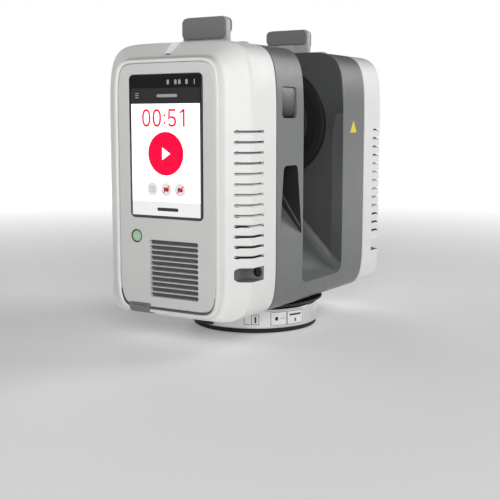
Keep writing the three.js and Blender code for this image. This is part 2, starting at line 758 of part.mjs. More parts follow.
function cameraModule(side) {
  const { y, z } = CAMERA_WINDOW;
  const barrel = rod('x', 7, [42, 56.6], [-y, z], 20);
  const body = box([34, 43], [-y - 9, -y + 9], [z - 9, z + 9]);
  return flip(unite(barrel, body), side);
}

bothSides((side) => {
  const word = side > 0 ? 'right' : 'left';
  add(frontTower, `${word}_camera_window`, cameraWindow(side), glass);
  add(frontTower, `${word}_camera`, cameraModule(side), blackPlastic);
});

// ---------------------------------------------------------------- range finder

const optics = new THREE.Group();
optics.position.z = MIRROR_AXIS_Z;
head.add(optics);

function beamRing() {
  return tube('y', 30, 24.6, [-TOWER_WALL - 1, -TOWER_INNER + 0.4]);
}

function laserUnit() {
  const barrel = rod('y', 25, [-84, -41]);
  const block = box([-29, 29], [-95, -83], [-30, 28]);
  const board = box([-25, 25], [-84, -62], [-29, -20]);
  return unite(barrel, block, board);
}

add(optics, 'beam_window_ring', beamRing(), blackPlastic);
add(optics, 'beam_window', rod('y', 24.3, [-36, -34]), clearGlass);
add(optics, 'laser_unit', laserUnit(), blackPlastic);

// ---------------------------------------------------------------- spinning mirror and its drive

// The rotor is a cylinder cut at 45 degrees. At rest its heavy side hangs down and the mirror
// faces up, and it throws the beam straight up.
function slantedCut(offset) {
  const size = 120;
  const cutter = box([-size, size], [-size, 0], [-size, size]);
  return cutter.rotate([-45, 0, 0]).translate([0, offset, -offset]);
}

const MIRROR_THICKNESS = 3;

function mirrorPlate() {
  const blank = rod('y', MIRROR_RADIUS, [-40, 40], [0, 0], 40);
  const step = MIRROR_THICKNESS / Math.SQRT2;
  return blank.subtract(slantedCut(0)).intersect(slantedCut(step));
}

function mirrorRotor() {
  const drum = rod('y', MIRROR_RADIUS, [-40, 34], [0, 0], 40);
  const flange = rod('y', 35, [31.8, 40], [0, 0], 40);
  const step = (MIRROR_THICKNESS + GAP) / Math.SQRT2;
  const socket = rod('y', 6 + GAP, [34, 41], [0, 0], 16);
  return unite(drum.subtract(slantedCut(step)), flange).subtract(socket);
}

function hubRing() {
  return tube('y', HUB_RING_RADIUS, 35.6, [30.6, TOWER_WALL + 2], [0, 0], 40);
}

function motorHousing() {
  const can = tube('y', 34, 30, [42, 64]);
  const end = tube('y', 34, 11, [63, 67]);
  return unite(can, end);
}

function mirrorShaft() {
  const shaft = rod('y', 6, [34.5, 72], [0, 0], 16);
  const magnets = rod('y', 26, [46, 60], [0, 0], 28);
  return unite(shaft, magnets);
}

add(optics, 'mirror', mirrorPlate(), mirrorGlass);
add(optics, 'mirror_rotor', mirrorRotor(), blackPlastic);
add(optics, 'mirror_shaft', mirrorShaft(), steel);
add(optics, 'mirror_bearing', tube('y', 10.7, 6 + GAP, [62.6, 69], [0, 0], 20), steel);
add(optics, 'mirror_hub_ring', hubRing(), blackPlastic);
add(optics, 'mirror_motor_housing', motorHousing(), magnet);

// ---------------------------------------------------------------- batteries and their door

function batteryTray() {
  const outside = box([-29, 29], [-110.4, -76], [58, 150]);
  const inside = box([-27.4, 27.4], [-111, -77.6], [59.6, 148.4]);
  return outside.subtract(inside);
}

function battery(side) {
  const pack = prismAlongY(roundedRectangle([0.8, 26.6], [62, 146], 3), [-110, -78]);
  return flip(pack, side);
}

// The door turns about the axis of its own round edge.
function batteryDoor() {
  const { halfWidth, bottom, top, thickness, front, edge } = DOOR;
  const middle = -front + thickness / 2;
  const pivotX = -halfWidth + edge;
  const leaf = box([pivotX, halfWidth], [-front, -front + thickness], [bottom, top]);
  const barrel = rod('z', edge, [bottom, top], [pivotX, middle], 16);
  const slotSpan = [halfWidth - 14.4, halfWidth - 3.6];
  const latchSlot = box(slotSpan, [-front - 1, -front + 1.6], [97.6, 110.4]);
  return unite(leaf, barrel).subtract(latchSlot);
}

function batteryLatch() {
  const slider = box([15, 22], [-PLATE_FRONT, -DOOR.front + 1.3], [98, 110]);
  const ribs = [];
  for (let i = 0; i < 3; i += 1) {
    const left = 16.5 + i * 2;
    ribs.push(box([left, left + 0.8], [-PLATE_FRONT - 0.4, -PLATE_FRONT + 0.2], [100, 108]));
  }
  return unite(slider, ...ribs);
}

add(rearTower, 'battery_tray', batteryTray(), blackPlastic);
add(rearTower, 'battery_left', battery(1), blackPlastic);
add(rearTower, 'battery_right', battery(-1), blackPlastic);
add(rearTower, 'battery_door', batteryDoor(), plateGrey);
add(rearTower, 'battery_latch', batteryLatch(), darkRubber);

// ---------------------------------------------------------------- grips

// The light core: an upright plate with round upper corners on a thin foot.
function gripCore() {
  const { halfWidth, inner, outer, bottom, top } = GRIP;
  const upright = prismAlongY(
    roundedRectangle([-halfWidth, halfWidth], [bottom - 8, top], 5), [-outer, -inner]);
  const above = box([-60, 60], [-80, -40], [bottom, top + 1]);
  const foot = box([-33, 33], [-outer - 0.6, -inner + 1], [bottom, bottom + 1.6]);
  const stem = box([-7, 7], [-inner - 1, -inner + 2.2], [bottom, bottom + 8]);
  return unite(upright.intersect(above), foot, stem);
}

function gripOuterPad() {
  const { halfWidth, outer, bottom, top } = GRIP;
  const inset = 0.6;
  const face = roundedRectangle([-halfWidth + inset, halfWidth - inset],
    [bottom + 2, top - inset], 4.6);
  const pad = prismAlongY(face, [-outer - 2, -outer - GAP]);
  const groove = box([-30, 30], [-outer - 3, -outer - 1.2], [214, 215.2]);
  return pad.subtract(groove);
}

function gripLip() {
  const { halfWidth, inner, top } = GRIP;
  const inset = 0.6;
  const face = roundedRectangle([-halfWidth + inset, halfWidth - inset], [217.6, top - inset], 3.6);
  return prismAlongY(face, [-inner + GAP, -inner + 2.6]);
}

for (const [tower, word] of [[frontTower, 'front'], [rearTower, 'rear']]) {
  const grip = new THREE.Group();
  grip.position.x = tower === frontTower ? GRIP.x : -GRIP.x;
  tower.add(grip);
  add(grip, `${word}_grip`, gripCore(), lightGrey);
  add(grip, `${word}_grip_pad`, gripOuterPad(), darkRubber);
  add(grip, `${word}_grip_lip`, gripLip(), darkRubber);
}

export default scanner;
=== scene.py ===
"""A terrestrial laser scanner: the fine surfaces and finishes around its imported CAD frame.

Shapes are worked out in millimetres, +Z up, with the origin at the centre of the foot, and become
metres when a piece is placed. The display faces -Y. The rear tower is made like the front one and
then turned half a turn.
"""

import math

import bmesh
import bpy
from mathutils import Matrix, Vector


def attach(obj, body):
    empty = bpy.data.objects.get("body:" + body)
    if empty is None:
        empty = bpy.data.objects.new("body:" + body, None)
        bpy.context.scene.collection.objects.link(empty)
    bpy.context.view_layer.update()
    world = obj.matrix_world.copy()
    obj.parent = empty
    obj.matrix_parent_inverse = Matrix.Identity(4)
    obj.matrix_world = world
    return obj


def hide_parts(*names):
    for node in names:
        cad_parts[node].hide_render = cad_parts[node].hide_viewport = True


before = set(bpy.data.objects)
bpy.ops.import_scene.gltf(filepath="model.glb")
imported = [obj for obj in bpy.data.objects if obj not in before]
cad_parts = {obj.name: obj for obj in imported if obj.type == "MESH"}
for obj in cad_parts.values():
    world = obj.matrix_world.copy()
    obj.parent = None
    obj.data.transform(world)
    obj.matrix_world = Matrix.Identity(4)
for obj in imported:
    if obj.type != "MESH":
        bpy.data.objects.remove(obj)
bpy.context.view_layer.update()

MM = 0.001
TURN = 2 * math.pi
TOWERS = (("front", False), ("rear", True))  # name, and whether it is turned half a turn
SIDES = (1, -1)

# ------------------------------------------------------------------ driving dimensions

GAP = 0.3
HALF_WIDTH = 60
BODY_BOTTOM = 22
BODY_TOP = 209
FACE = 116.5
TOP_POWER = 7.2
BOTTOM_POWER = 9
PLATE_POWER = 11
OUTLINE_POINTS = 160

TOWER_INNER = 31.5
FRAME_END = 69.2
GASKET = (69.5, 70.1)
SHELL_START = 70.4
CREASE = 100.7
CREASE_SWEEP = 8.8
CREASE_BEND = 52
CHAMFER_END = 110.9
CHAMFER_HALF_WIDTH = 44.4
CHAMFER_POWER = 9
LIP_SIDE = 114.9
SHELL_WALL = 2.6
FRAME_WALL = 3.5
TOWER_WALL = 39
DISH_DEPTH = 3.5

PLATE_HALF_WIDTH = 40.2
PLATE_BOTTOM = 28.4
PLATE_TOP = 194.8
PLATE_BACK = 113.1
PLATE_FRONT = 115.6

SCREEN_HALF_WIDTH = 30
SCREEN_BOTTOM = 90.9
SCREEN_TOP = 186.9
SCREEN_FRONT = PLATE_FRONT + 0.3
PICTURE_LAYER = 0.02

BUTTON = {"x": -25.4, "z": 77.5, "radius": 3.9}
GRILLE = {"x": 5.8, "half": 20, "first": 37.5, "pitch": 3.65, "count": 11, "height": 2.4}
VENT = {"first": 66.7, "pitch": 6.87, "count": 13, "height": 1.8, "near": 86.6, "far": 107.6,
        "end_hole": 1.15}
VENT_SIDE = {"front": 1, "rear": -1}
RECESS = {"bottom": 50, "top": 59.5, "floor": 46.5, "corner": 2.8, "wall": 1.5, "short_end": 98.2}
SCREW = {"x": 55, "z": 54.75, "bore": 3.35, "seat": 82, "face": 85.1, "shank": 1.5, "tip": 60.8}
NOTCH_DEPTH = 1.9
GROOVE_START = ((99.2, 210.5), -5.5, 1.2, 3.9)  # (y, z) on the brow, left edge, deepest, right
GROOVE_END = ((109.6, 200.1), -5.6, -1.5, 0.3)
PLATE_GAPS = {"side": GAP, "bottom": 1.4, "top": 0.2}
FLAP = {"left": -32, "right": -14.5, "top": 30.5, "back": 109, "pivot_y": 110.1, "pivot_z": 24.4}

MIRROR_Z = 155
MIRROR_RADIUS = 27
HUB_RADIUS = 43.5
CAMERA = {"y": 52.4, "z": 168.9, "half_width": 10.2, "half_height": 10.7}
NICHE = {"top": 125.5, "bottom": 76, "floor": 42, "rise": 25}
GRIP = {"x": -4, "half": 19, "inner": 57, "outer": 62, "bottom": 209.3, "top": 229.3}
DOOR = {"half": 26, "bottom": 62, "top": 146, "thickness": 3.2, "front": 115.4, "edge": 1.6}

FLANGE_BOTTOM = 18.4
FLANGE_TOP = 21.7
DRUM_RADIUS = 48.7
DRUM_BOTTOM = 3.3
DRUM_TOP = 18
RELEASE_TURN = math.radians(-36)
LABEL_INNER = DRUM_RADIUS + GAP
LABEL_THICKNESS = 0.4
LABEL_FACE = LABEL_INNER + LABEL_THICKNESS
INK = 0.05

# ------------------------------------------------------------------ meshes


def linked(name, data):
    """A new object in the scene that holds this data."""
    item = bpy.data.objects.new(name, data)
    bpy.context.scene.collection.objects.link(item)
    return item


def new_piece(name, points, faces):
    mesh = bpy.data.meshes.new(name)
    mesh.from_pydata([tuple(p) for p in points], [], faces)
    shape = bmesh.new()
    shape.from_mesh(mesh)
    bmesh.ops.remove_doubles(shape, verts=shape.verts, dist=1e-5)
    bmesh.ops.recalc_face_normals(shape, faces=shape.faces)
    shape.to_mesh(mesh)
    shape.free()
    return linked(name, mesh)


def merged(name, pieces):
    """Several pieces as one object; where they overlap, both keep their faces."""
    shape = bmesh.new()
    for piece in pieces:
        shape.from_mesh(piece.data)
    mesh = bpy.data.meshes.new(name)
    shape.to_mesh(mesh)
    shape.free()
    for piece in pieces:
        bpy.data.objects.remove(piece)
    return linked(name, mesh)


def apply_modifiers(piece):
    graph = bpy.context.evaluated_depsgraph_get()
    mesh = bpy.data.meshes.new_from_object(piece.evaluated_get(graph))
    old = piece.data
    piece.modifiers.clear()
    piece.data = mesh
    bpy.data.meshes.remove(old)
    return piece


def combine(piece, operation, others):
    """Applies a boolean with each of the others, which are then removed."""
    for other in others:
        modifier = piece.modifiers.new("combine", "BOOLEAN")
        modifier.operation = operation
        modifier.solver = "MANIFOLD"
        modifier.object = other
        apply_modifiers(piece)
        bpy.data.objects.remove(other)
    return piece


def cut(piece, *others):
    return combine(piece, "DIFFERENCE", others)


def join(piece, *others):
    return combine(piece, "UNION", others)


def keep_inside(piece, *others):
    return combine(piece, "INTERSECT", others)


def rounded(piece, width):
    """Rounds the edges that turn by more than 30 degrees."""
    modifier = piece.modifiers.new("edges", "BEVEL")
    modifier.width = width
    modifier.segments = 3
    modifier.limit_method = "ANGLE"
    modifier.angle_limit = math.radians(30)
    return apply_modifiers(piece)


def moved(piece, offset=(0, 0, 0), turn=0, axis="Z"):
    piece.data.transform(Matrix.Translation(offset) @ Matrix.Rotation(turn, 4, axis))
    return piece


def mirrored(piece, side):
    """The piece itself on the +X side, and its mirror image on the other."""
    if side < 0:
        piece.data.transform(Matrix.Scale(-1, 4, (1, 0, 0)))
        piece.data.flip_normals()
    return piece


def on_axis(axis, station, u, v):
    """The point at a station along an axis, whose other two coordinates are u and v."""
    return {"x": (station, u, v), "y": (u, station, v), "z": (u, v, station)}[axis]


def loft(name, loops):
    """A closed solid through loops of (x, y, z) that all have the same number of points."""
    count = len(loops[0])
    points = [p for loop in loops for p in loop]
    faces = []
    for ring in range(len(loops) - 1):
        for i in range(count):
            a, b = ring * count + i, ring * count + (i + 1) % count
            faces.append((a, b, b + count, a + count))
    last = (len(loops) - 1) * count
    faces.append(tuple(range(count)))
    faces.append(tuple(range(last, last + count)))
    return new_piece(name, points, faces)


def lathe(name, profile, axis="z", segments=160, centre=(0, 0)):
    """A closed profile of (radius, station) turned about an axis; a radius of 0 closes on it."""
    points, faces = [], []
    for step in range(segments):
        angle = TURN * step / segments
        c, s = math.cos(angle), math.sin(angle)
        for radius, station in profile:
            u, v = centre[0] + radius * c, centre[1] + radius * s
            points.append(on_axis(axis, station, u, v))
    size = len(profile)
    for step in range(segments):
        a, b = step * size, ((step + 1) % segments) * size
        for i in range(size):
            j = (i + 1) % size
            if profile[i][0] == 0 and profile[j][0] == 0:
                continue
            faces.append((a + i, b + i, b + j, a + j))
    return new_piece(name, points, faces)


def rod(name, axis, radius, span, centre=(0, 0), segments=48):
    """A solid round bar."""
    low, high = span
    profile = [(0, low), (radius, low), (radius, high), (0, high)]
    return lathe(name, profile, axis, segments, centre)


def block(name, xs, ys, zs, edge=0.0):
    points = [(x, y, z) for x in xs for y in ys for z in zs]
    faces = [(0, 1, 3, 2), (4, 6, 7, 5), (0, 4, 5, 1), (2, 3, 7, 6), (0, 2, 6, 4), (1, 5, 7, 3)]
    piece = new_piece(name, points, faces)
    return rounded(piece, edge) if edge else piece


def prism(name, outline_points, span, axis="y"):
    """An outline of two coordinates, drawn out along the third."""
    return loft(name, [[on_axis(axis, station, *p) for p in outline_points] for station in span])


def superellipse(half_width, bottom, top, top_power=TOP_POWER, bottom_power=BOTTOM_POWER):
    """A rectangle with soft corners in X and Z; a higher power makes tighter corners."""
    middle, half_height = (bottom + top) / 2, (top - bottom) / 2
    points = []
    for step in range(OUTLINE_POINTS):
        angle = TURN * step / OUTLINE_POINTS
        across, along = round(math.cos(angle), 12), round(math.sin(angle), 12)
        power = 2 / (top_power if along >= 0 else bottom_power)
        points.append((half_width * math.copysign(abs(across) ** power, across),
                       middle + half_height * math.copysign(abs(along) ** power, along)))
    return points


def plate_outline(half_width, bottom, top):
    return superellipse(half_width, bottom, top, PLATE_POWER, PLATE_POWER)


def chamfer_outline(half_width, bottom, top):
    return superellipse(half_width, bottom, top, CHAMFER_POWER, CHAMFER_POWER)


def body_outline(inset=0.0):
    """The towers' outline seen from the front."""
    return superellipse(HALF_WIDTH - inset, BODY_BOTTOM + inset, BODY_TOP - inset)


def ahead(points, distance):
    """Puts an (x, z) outline at -distance in Y; distance may be a function of the height."""
    at = distance if callable(distance) else lambda z: distance
    return [(x, -at(z), z) for x, z in points]


def crease_at(height, setback=0.0):
    """How far ahead the side's crease lies; it sweeps forward near the bottom."""
    t = (CREASE_BEND - height) / (CREASE_BEND - BODY_BOTTOM)
    t = min(max(t, 0), 1)
    return CREASE - setback + CREASE_SWEEP * t * t


def between(a, b, t):
    """A loop part of the way from loop a to loop b."""
    return [tuple(u + (v - u) * t for u, v in zip(p, q)) for p, q in zip(a, b)]


def rounding(a, corner, b, steps=4):
    """Loops of a round edge that leaves loop a towards the corner loop and ends at loop b."""
    loops = []
    for step in range(steps + 1):
        t = step / steps
        loops.append(between(between(a, corner, t), between(corner, b, t), t))
    return loops


def round_rectangle(us, vs, radius, steps=6):
    """A rectangle over the two ranges, with round corners."""
    (u0, u1), (v0, v1) = us, vs
    corners = [(u1 - radius, v0 + radius, -90), (u1 - radius, v1 - radius, 0),
               (u0 + radius, v1 - radius, 90), (u0 + radius, v0 + radius, 180)]
    points = []
    for u, v, start in corners:
        for step in range(steps + 1):
            angle = math.radians(start + 90 * step / steps)
            points.append((u + radius * math.cos(angle), v + radius * math.sin(angle)))
    return points


def soft_corner(before, here, after, radius, steps):
    """Points that round off the corner at here, between its two neighbours."""
    start = here + (before - here).normalized() * radius
    end = here + (after - here).normalized() * radius
    points = []
    for step in range(steps + 1):
        t = step / steps
        point = start.lerp(here, t).lerp(here.lerp(end, t), t)
        points.append((point.x, point.y))
    return points


def circle(centre, radius, steps=48):
    return [(centre[0] + radius * math.cos(TURN * i / steps),
             centre[1] + radius * math.sin(TURN * i / steps)) for i in range(steps)]


# ------------------------------------------------------------------ materials


def map_range(tree, source, inputs=(0, 1), outputs=(0, 1), interpolation="LINEAR"):
    """Takes a value from one range to another, and holds it at the ends."""
    node = tree.nodes.new("ShaderNodeMapRange")
    node.interpolation_type = interpolation
    sockets = ("From Min", "From Max", "To Min", "To Max")
    for socket, value in zip(sockets, (*inputs, *outputs)):
        node.inputs[socket].default_value = value
    tree.links.new(source, node.inputs["Value"])
    return node.outputs["Result"]


def material(name, colour, roughness, metallic=0.0, grain=None, mottle=0.03, coat=0.0,
             roughness_spread=0.06, specular=0.5, stretch=(1, 1, 1)):
    """A finish with fine grain, small changes of colour and an uneven gloss.

    grain is (cells per metre, bump height in metres).
    """
    made = bpy.data.materials.new(name)
    made.use_nodes = True
    tree = made.node_tree
    shader = tree.nodes["Principled BSDF"]
    shader.inputs["Metallic"].default_value = metallic
    shader.inputs["Specular IOR Level"].default_value = specular
    shader.inputs["Coat Weight"].default_value = coat
    shader.inputs["Coat Roughness"].default_value = 0.12
    where = tree.nodes.new("ShaderNodeTexCoord")
    mapping = tree.nodes.new("ShaderNodeMapping")
    mapping.inputs["Scale"].default_value = stretch
    tree.links.new(where.outputs["Object"], mapping.inputs["Vector"])

    def noise(scale, detail):
        node = tree.nodes.new("ShaderNodeTexNoise")
        node.inputs["Scale"].default_value = scale
        node.inputs["Detail"].default_value = detail
        tree.links.new(mapping.outputs["Vector"], node.inputs["Vector"])
        return node.outputs["Fac"]

    tint = tree.nodes.new("ShaderNodeMixRGB")
    tint.inputs["Color1"].default_value = (*[c * (1 - mottle) for c in colour], 1)
    tint.inputs["Color2"].default_value = (*[min(c * (1 + mottle), 1) for c in colour], 1)
    tree.links.new(noise(45, 3), tint.inputs["Fac"])
    tree.links.new(tint.outputs["Color"], shader.inputs["Base Color"])
    gloss = map_range(tree, noise(160, 2), (0.3, 0.7),
                      (roughness - roughness_spread, roughness + roughness_spread))
    tree.links.new(gloss, shader.inputs["Roughness"])
    cells, height = grain or (2600, 0.000012)
    bump = tree.nodes.new("ShaderNodeBump")
    bump.inputs["Strength"].default_value = 0.5
    bump.inputs["Distance"].default_value = height
    tree.links.new(noise(cells, 2), bump.inputs["Height"])
    tree.links.new(bump.outputs["Normal"], shader.inputs["Normal"])
    return made


def painted_reflection_upwards(finish, heights, colours):
    """Blends a finish's grey from one shade to another over a range of heights: a painted reflection,
    as on the camera glass.
    """
    tree = finish.node_tree
    where = tree.nodes.new("ShaderNodeTexCoord")
    split = tree.nodes.new("ShaderNodeSeparateXYZ")
    tree.links.new(where.outputs["Object"], split.inputs["Vector"])
    blend = tree.nodes.new("ShaderNodeMixRGB")
    for socket, shade in zip(("Color1", "Color2"), colours):
        blend.inputs[socket].default_value = (shade, shade, shade, 1)
    tree.links.new(map_range(tree, split.outputs["Z"], heights), blend.inputs["Fac"])
    tree.links.new(blend.outputs["Color"], tree.nodes["Principled BSDF"].inputs["Base Color"])


def lit(name, colour, glow):
    """A glossy finish that gives off light: the display's picture, and weakly a painted highlight in
    the sight grooves.
    """
    made = material(name, colour, 0.2, mottle=0.01, roughness_spread=0.03, grain=(9000, 1e-6))
    shader = made.node_tree.nodes["Principled BSDF"]
    shader.inputs["Emission Color"].default_value = (*colour, 1)
    shader.inputs["Emission Strength"].default_value = glow
    shader.inputs["Specular IOR Level"].default_value = 0.12
    return made


white_plastic = material("white_plastic", (0.8, 0.81, 0.79), 0.42, grain=(3200, 0.00001))
grey_paint = material("grey_paint", (0.165, 0.17, 0.17), 0.36, grain=(2400, 0.000016))
# Darker greys for the towers' faces that look at each other.
inner_face_grey = material("inner_face_grey", (0.068, 0.07, 0.07), 0.5, grain=(2400, 0.000016))
border_face_grey = material("border_face_grey", (0.115, 0.118, 0.118), 0.46, grain=(2400, 0.000016))
niche_black = material("niche_black", (0.018, 0.0185, 0.019), 0.5, grain=(2400, 0.00002))
niche_rib = material("niche_rib", (0.09, 0.092, 0.092), 0.45, grain=(2400, 0.00002))
plate_plastic = material("plate_plastic", (0.655, 0.665, 0.645), 0.4, grain=(3200, 0.00001))
grip_plastic = material("grip_plastic", (0.45, 0.455, 0.45), 0.45, grain=(2600, 0.000014))
soft_pad = material("soft_pad", (0.19, 0.19, 0.19), 0.72, grain=(1900, 0.00003))
black_plastic = material("black_plastic", (0.012, 0.012, 0.013), 0.42)
matt_black = material("matt_black", (0.006, 0.006, 0.0065), 0.7)
rubber = material("rubber", (0.012, 0.012, 0.0125), 0.8, grain=(1800, 0.00003))
recess_grey = material("recess_grey", (0.24, 0.243, 0.24), 0.5, grain=(2400, 0.000016))
mesh_grey = material("mesh_grey", (0.26, 0.26, 0.26), 0.6, grain=(1500, 0.00006), mottle=0.12)
# Painted shade: the dark strip in the wider gap below each plate.
gap_shade_grey = material("gap_shade_grey", (0.1, 0.1, 0.1), 0.8, grain=(1500, 0.00003))
groove_grey = material("groove_grey", (0.1, 0.1, 0.102), 0.7)
aluminium = material("aluminium", (0.8, 0.81, 0.82), 0.17, 1, grain=(900, 0.000006),
                     stretch=(0.2, 0.2, 6), roughness_spread=0.05)
steel = material("steel", (0.56, 0.57, 0.58), 0.3, 1, grain=(1500, 0.000008))
dark_steel = material("dark_steel", (0.085, 0.085, 0.09), 0.4, 0.5, grain=(1500, 0.000008))
brass = material("brass", (0.68, 0.5, 0.22), 0.32, 1, grain=(1200, 0.000008))
copper = material("copper", (0.62, 0.3, 0.16), 0.4, 1, grain=(2000, 0.00004))
magnet = material("magnet", (0.22, 0.23, 0.24), 0.4, 0.9)
screen_glass = material("screen_glass", (0.012, 0.012, 0.013), 0.09, coat=0.6,
                        roughness_spread=0.03, grain=(9000, 1e-6))
camera_glass = material("camera_glass", (0.03, 0.031, 0.032), 0.42, specular=0.16,
                        roughness_spread=0.04, grain=(9000, 1e-6))
# Painted reflection: the camera glass is painted lighter towards its top.
painted_reflection_upwards(camera_glass, (0.16, 0.178), (0.004, 0.24))
lens_glass = material("lens_glass", (0.02, 0.024, 0.035), 0.05, coat=1, specular=0.9,
                      roughness_spread=0.02, grain=(9000, 1e-6))
mirror_coat = material("mirror_coat", (0.93, 0.94, 0.95), 0.04, 1, mottle=0.01,
                       roughness_spread=0.015, grain=(9000, 1e-6))
board_green = material("board_green", (0.02, 0.12, 0.045), 0.5, mottle=0.2, grain=(1400, 0.00003))
label_film = material("label_film", (0.86, 0.86, 0.85), 0.3, coat=0.2, grain=(5000, 2e-6))
label_ink = material("label_ink", (0.02, 0.02, 0.02), 0.4)
button_cap = material("button_cap", (0.42, 0.62, 0.44), 0.35, coat=0.3)
battery_case = material("battery_case", (0.03, 0.03, 0.033), 0.55, grain=(1600, 0.00004))
mark_yellow = material("mark_yellow", (0.83, 0.66, 0.02), 0.4)

# Painted highlight: a pale sheet in each sight groove that glows a little.
groove_highlight = lit("groove_highlight", (0.93, 0.93, 0.92), 0.12)
screen_white = lit("screen_white", (0.9, 0.9, 0.9), 0.72)
screen_footer = lit("screen_footer", (0.62, 0.62, 0.62), 0.6)
screen_header = lit("screen_header", (0.028, 0.028, 0.03), 0.3)
screen_status = lit("screen_status", (0.012, 0.012, 0.013), 0.2)
screen_red = lit("screen_red", (0.95, 0.0, 0.035), 0.75)
screen_icon = lit("screen_icon", (0.56, 0.56, 0.56), 0.55)
screen_dark = lit("screen_dark", (0.045, 0.045, 0.045), 0.1)
screen_pale = lit("screen_pale", (0.3, 0.3, 0.3), 0.25)


# ------------------------------------------------------------------ placing


def place(piece, body, finish, stands_for=(), angle=30, turned=False):
    """Turns a piece in millimetres into a finished one that rides on its body."""
    if turned:
        moved(piece, turn=math.pi)
    piece.data.transform(Matrix.Scale(MM, 4))
    piece.data.materials.clear()
    piece.data.materials.append(finish)
    for face in piece.data.polygons:
        face.use_smooth = True
        face.material_index = 0
    piece.data.set_sharp_from_angle(angle=math.radians(angle))
    weighted = piece.modifiers.new("normals", "WEIGHTED_NORMAL")
    weighted.keep_sharp = True
    weighted.weight = 80
    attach(piece, body)
    if stands_for:
        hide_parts(*([stands_for] if isinstance(stands_for, str) else stands_for))
    return piece


def dress(finish, *nodes):
    """A CAD node keeps its shape and gets its finish."""
    for node in nodes:
        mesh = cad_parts[node].data
        mesh.materials.clear()
        mesh.materials.append(finish)


# ------------------------------------------------------------------ base


def make_base():
    foot = lathe("foot_ring", [(30, 0), (47.2, 0), (48, 0.8), (48, 3), (30, 3)])
    place(foot, "base", rubber, "base_foot")

    wall = [(12.3, DRUM_BOTTOM), (47.9, DRUM_BOTTOM), (48.5, 3.6), (DRUM_RADIUS, 4.2),
            (DRUM_RADIUS, 17.3), (48.5, 17.8), (48.1, DRUM_TOP), (44.2, DRUM_TOP), (44.2, 7.3),
            (12.3, 7.3)]
    drum = lathe("drum", wall, segments=192)
    pocket = cut(release_block("pocket", GAP), rod("core", "z", 42.6, (0, 30), segments=96))
    cut(drum, moved(pocket, turn=RELEASE_TURN))
    place(drum, "base", aluminium, "base_housing")

    button = sleeve("release_pad", 45, 51.3, (0, 20))
    keep_inside(button, release_block("button_block", 0))
    ribs = [block(f"rib_{i}", (-14.5 + 3.2 * i, -13.3 + 3.2 * i), (-53, -50.4), (9.6, 16))
            for i in range(10)]
    cut(button, *ribs)
    moved(button, turn=RELEASE_TURN)
    place(button, "release", black_plastic, "release_button")

    thread = []
    turns = 5
    for turn in range(turns):
        low = 1.2 + turn * 6 / turns
        thread += [(7.9, low), (7.1, low + 0.6)]
    profile = [(20, 0.9), (20, 2.6), (19.6, 3), (12, 3), (12, 7.3), (7.9, 7.3), *thread[::-1],
               (7.9, 0.9)]
    insert = lathe("thread_insert", profile, segments=96)
    place(insert, "base", brass, "tripod_insert")


def release_block(name, clearance):
    """A block with a low step on its +X side, before it is turned round the drum."""
    height = (4.6 - clearance, 17.4 + 3 * clearance)
    low = (4.6 - clearance, 8.2 + clearance)
    wide = block(name, (-17 - clearance, 17 + clearance), (-60, -30), height)
    return join(wide, block(f"{name}_step", (0, 22 + clearance), (-60, -30), low))


def sleeve(name, inner, outer, span):
    low, high = span
    return lathe(name, [(inner, low), (outer, low), (outer, high), (inner, high)], segments=192)


def on_drum(name, points, radius, thickness):
    """A flat outline of (degrees from straight ahead, height) wrapped round the drum."""
    def wrap(point, r):
        angle = math.radians(point[0] - 90)
        return (r * math.cos(angle), r * math.sin(angle), point[1])
    return loft(name, [[wrap(p, radius) for p in points],
                       [wrap(p, radius + thickness) for p in points]])


def arc_box(name, angles, heights, radius, thickness):
    """A box wrapped round the drum, with enough steps to follow it."""
    (a0, a1), (z0, z1) = angles, heights
    steps = max(2, round((a1 - a0) / 1.5))
    stations = []
    for step in range(steps + 1):
        angle = math.radians(a0 + (a1 - a0) * step / steps - 90)
        c, s = math.cos(angle), math.sin(angle)
        stations.append([(r * c, r * s, z) for r, z in
                         ((radius, z0), (radius + thickness, z0),
                          (radius + thickness, z1), (radius, z1))])
    return loft(name, stations)


def frame_of_arcs(name, angles, heights):
    """The four sides of a thin rectangle printed on the label."""
    (a0, a1), (z0, z1), line = angles, heights, 0.35
    across = math.degrees(line / DRUM_RADIUS)
    sides = [((a0, a1), (z0, z0 + line)), ((a0, a1), (z1 - line, z1)),
             ((a0, a0 + across), (z0 + line, z1 - line)),
             ((a1 - across, a1), (z0 + line, z1 - line))]
    return [arc_box(f"{name}_{i}", *side, LABEL_FACE, INK) for i, side in enumerate(sides)]


def make_label():
    film = arc_box("label_film", (-4, 79), (5, 16.5), LABEL_INNER, LABEL_THICKNESS)
    place(film, "base", label_film, "base_label")
    frames = (("page", (22, 35), (6.6, 14.2)), ("left_cell", (45, 60), (5.6, 15.9)),
              ("right_cell", (60.6, 78), (5.6, 15.9)))
    bars = (("page_fold", (28.3, 28.8), (7, 13.8)), ("page_note", (31, 32.6), (8, 12.6)),
            ("dot_line", (54, 58.6), (10.65, 10.95)), ("upper_bar", (63, 75.5), (12.3, 13.6)),
            ("lower_bar", (68.4, 70), (7.6, 10)))
    marks = [side for drawn in frames for side in frame_of_arcs(*drawn)]
    marks += [arc_box(*bar, LABEL_FACE, INK) for bar in bars]
    marks.append(on_drum("dot", circle((50.5, 10.8), 1.5, 24), LABEL_FACE, INK))
    place(merged("label_marks", marks), "base", label_ink)


def make_neck():
    profile = [(20, FLANGE_BOTTOM), (47.6, FLANGE_BOTTOM), (48.2, FLANGE_BOTTOM + 0.2),
               (52.2, 20.3), (52.6, 20.9), (52.6, 21.4), (52.3, FLANGE_TOP), (20, FLANGE_TOP)]
    place(lathe("neck_flange", profile, segments=192), "head", black_plastic,
          "turntable_flange")


# ------------------------------------------------------------------ chassis


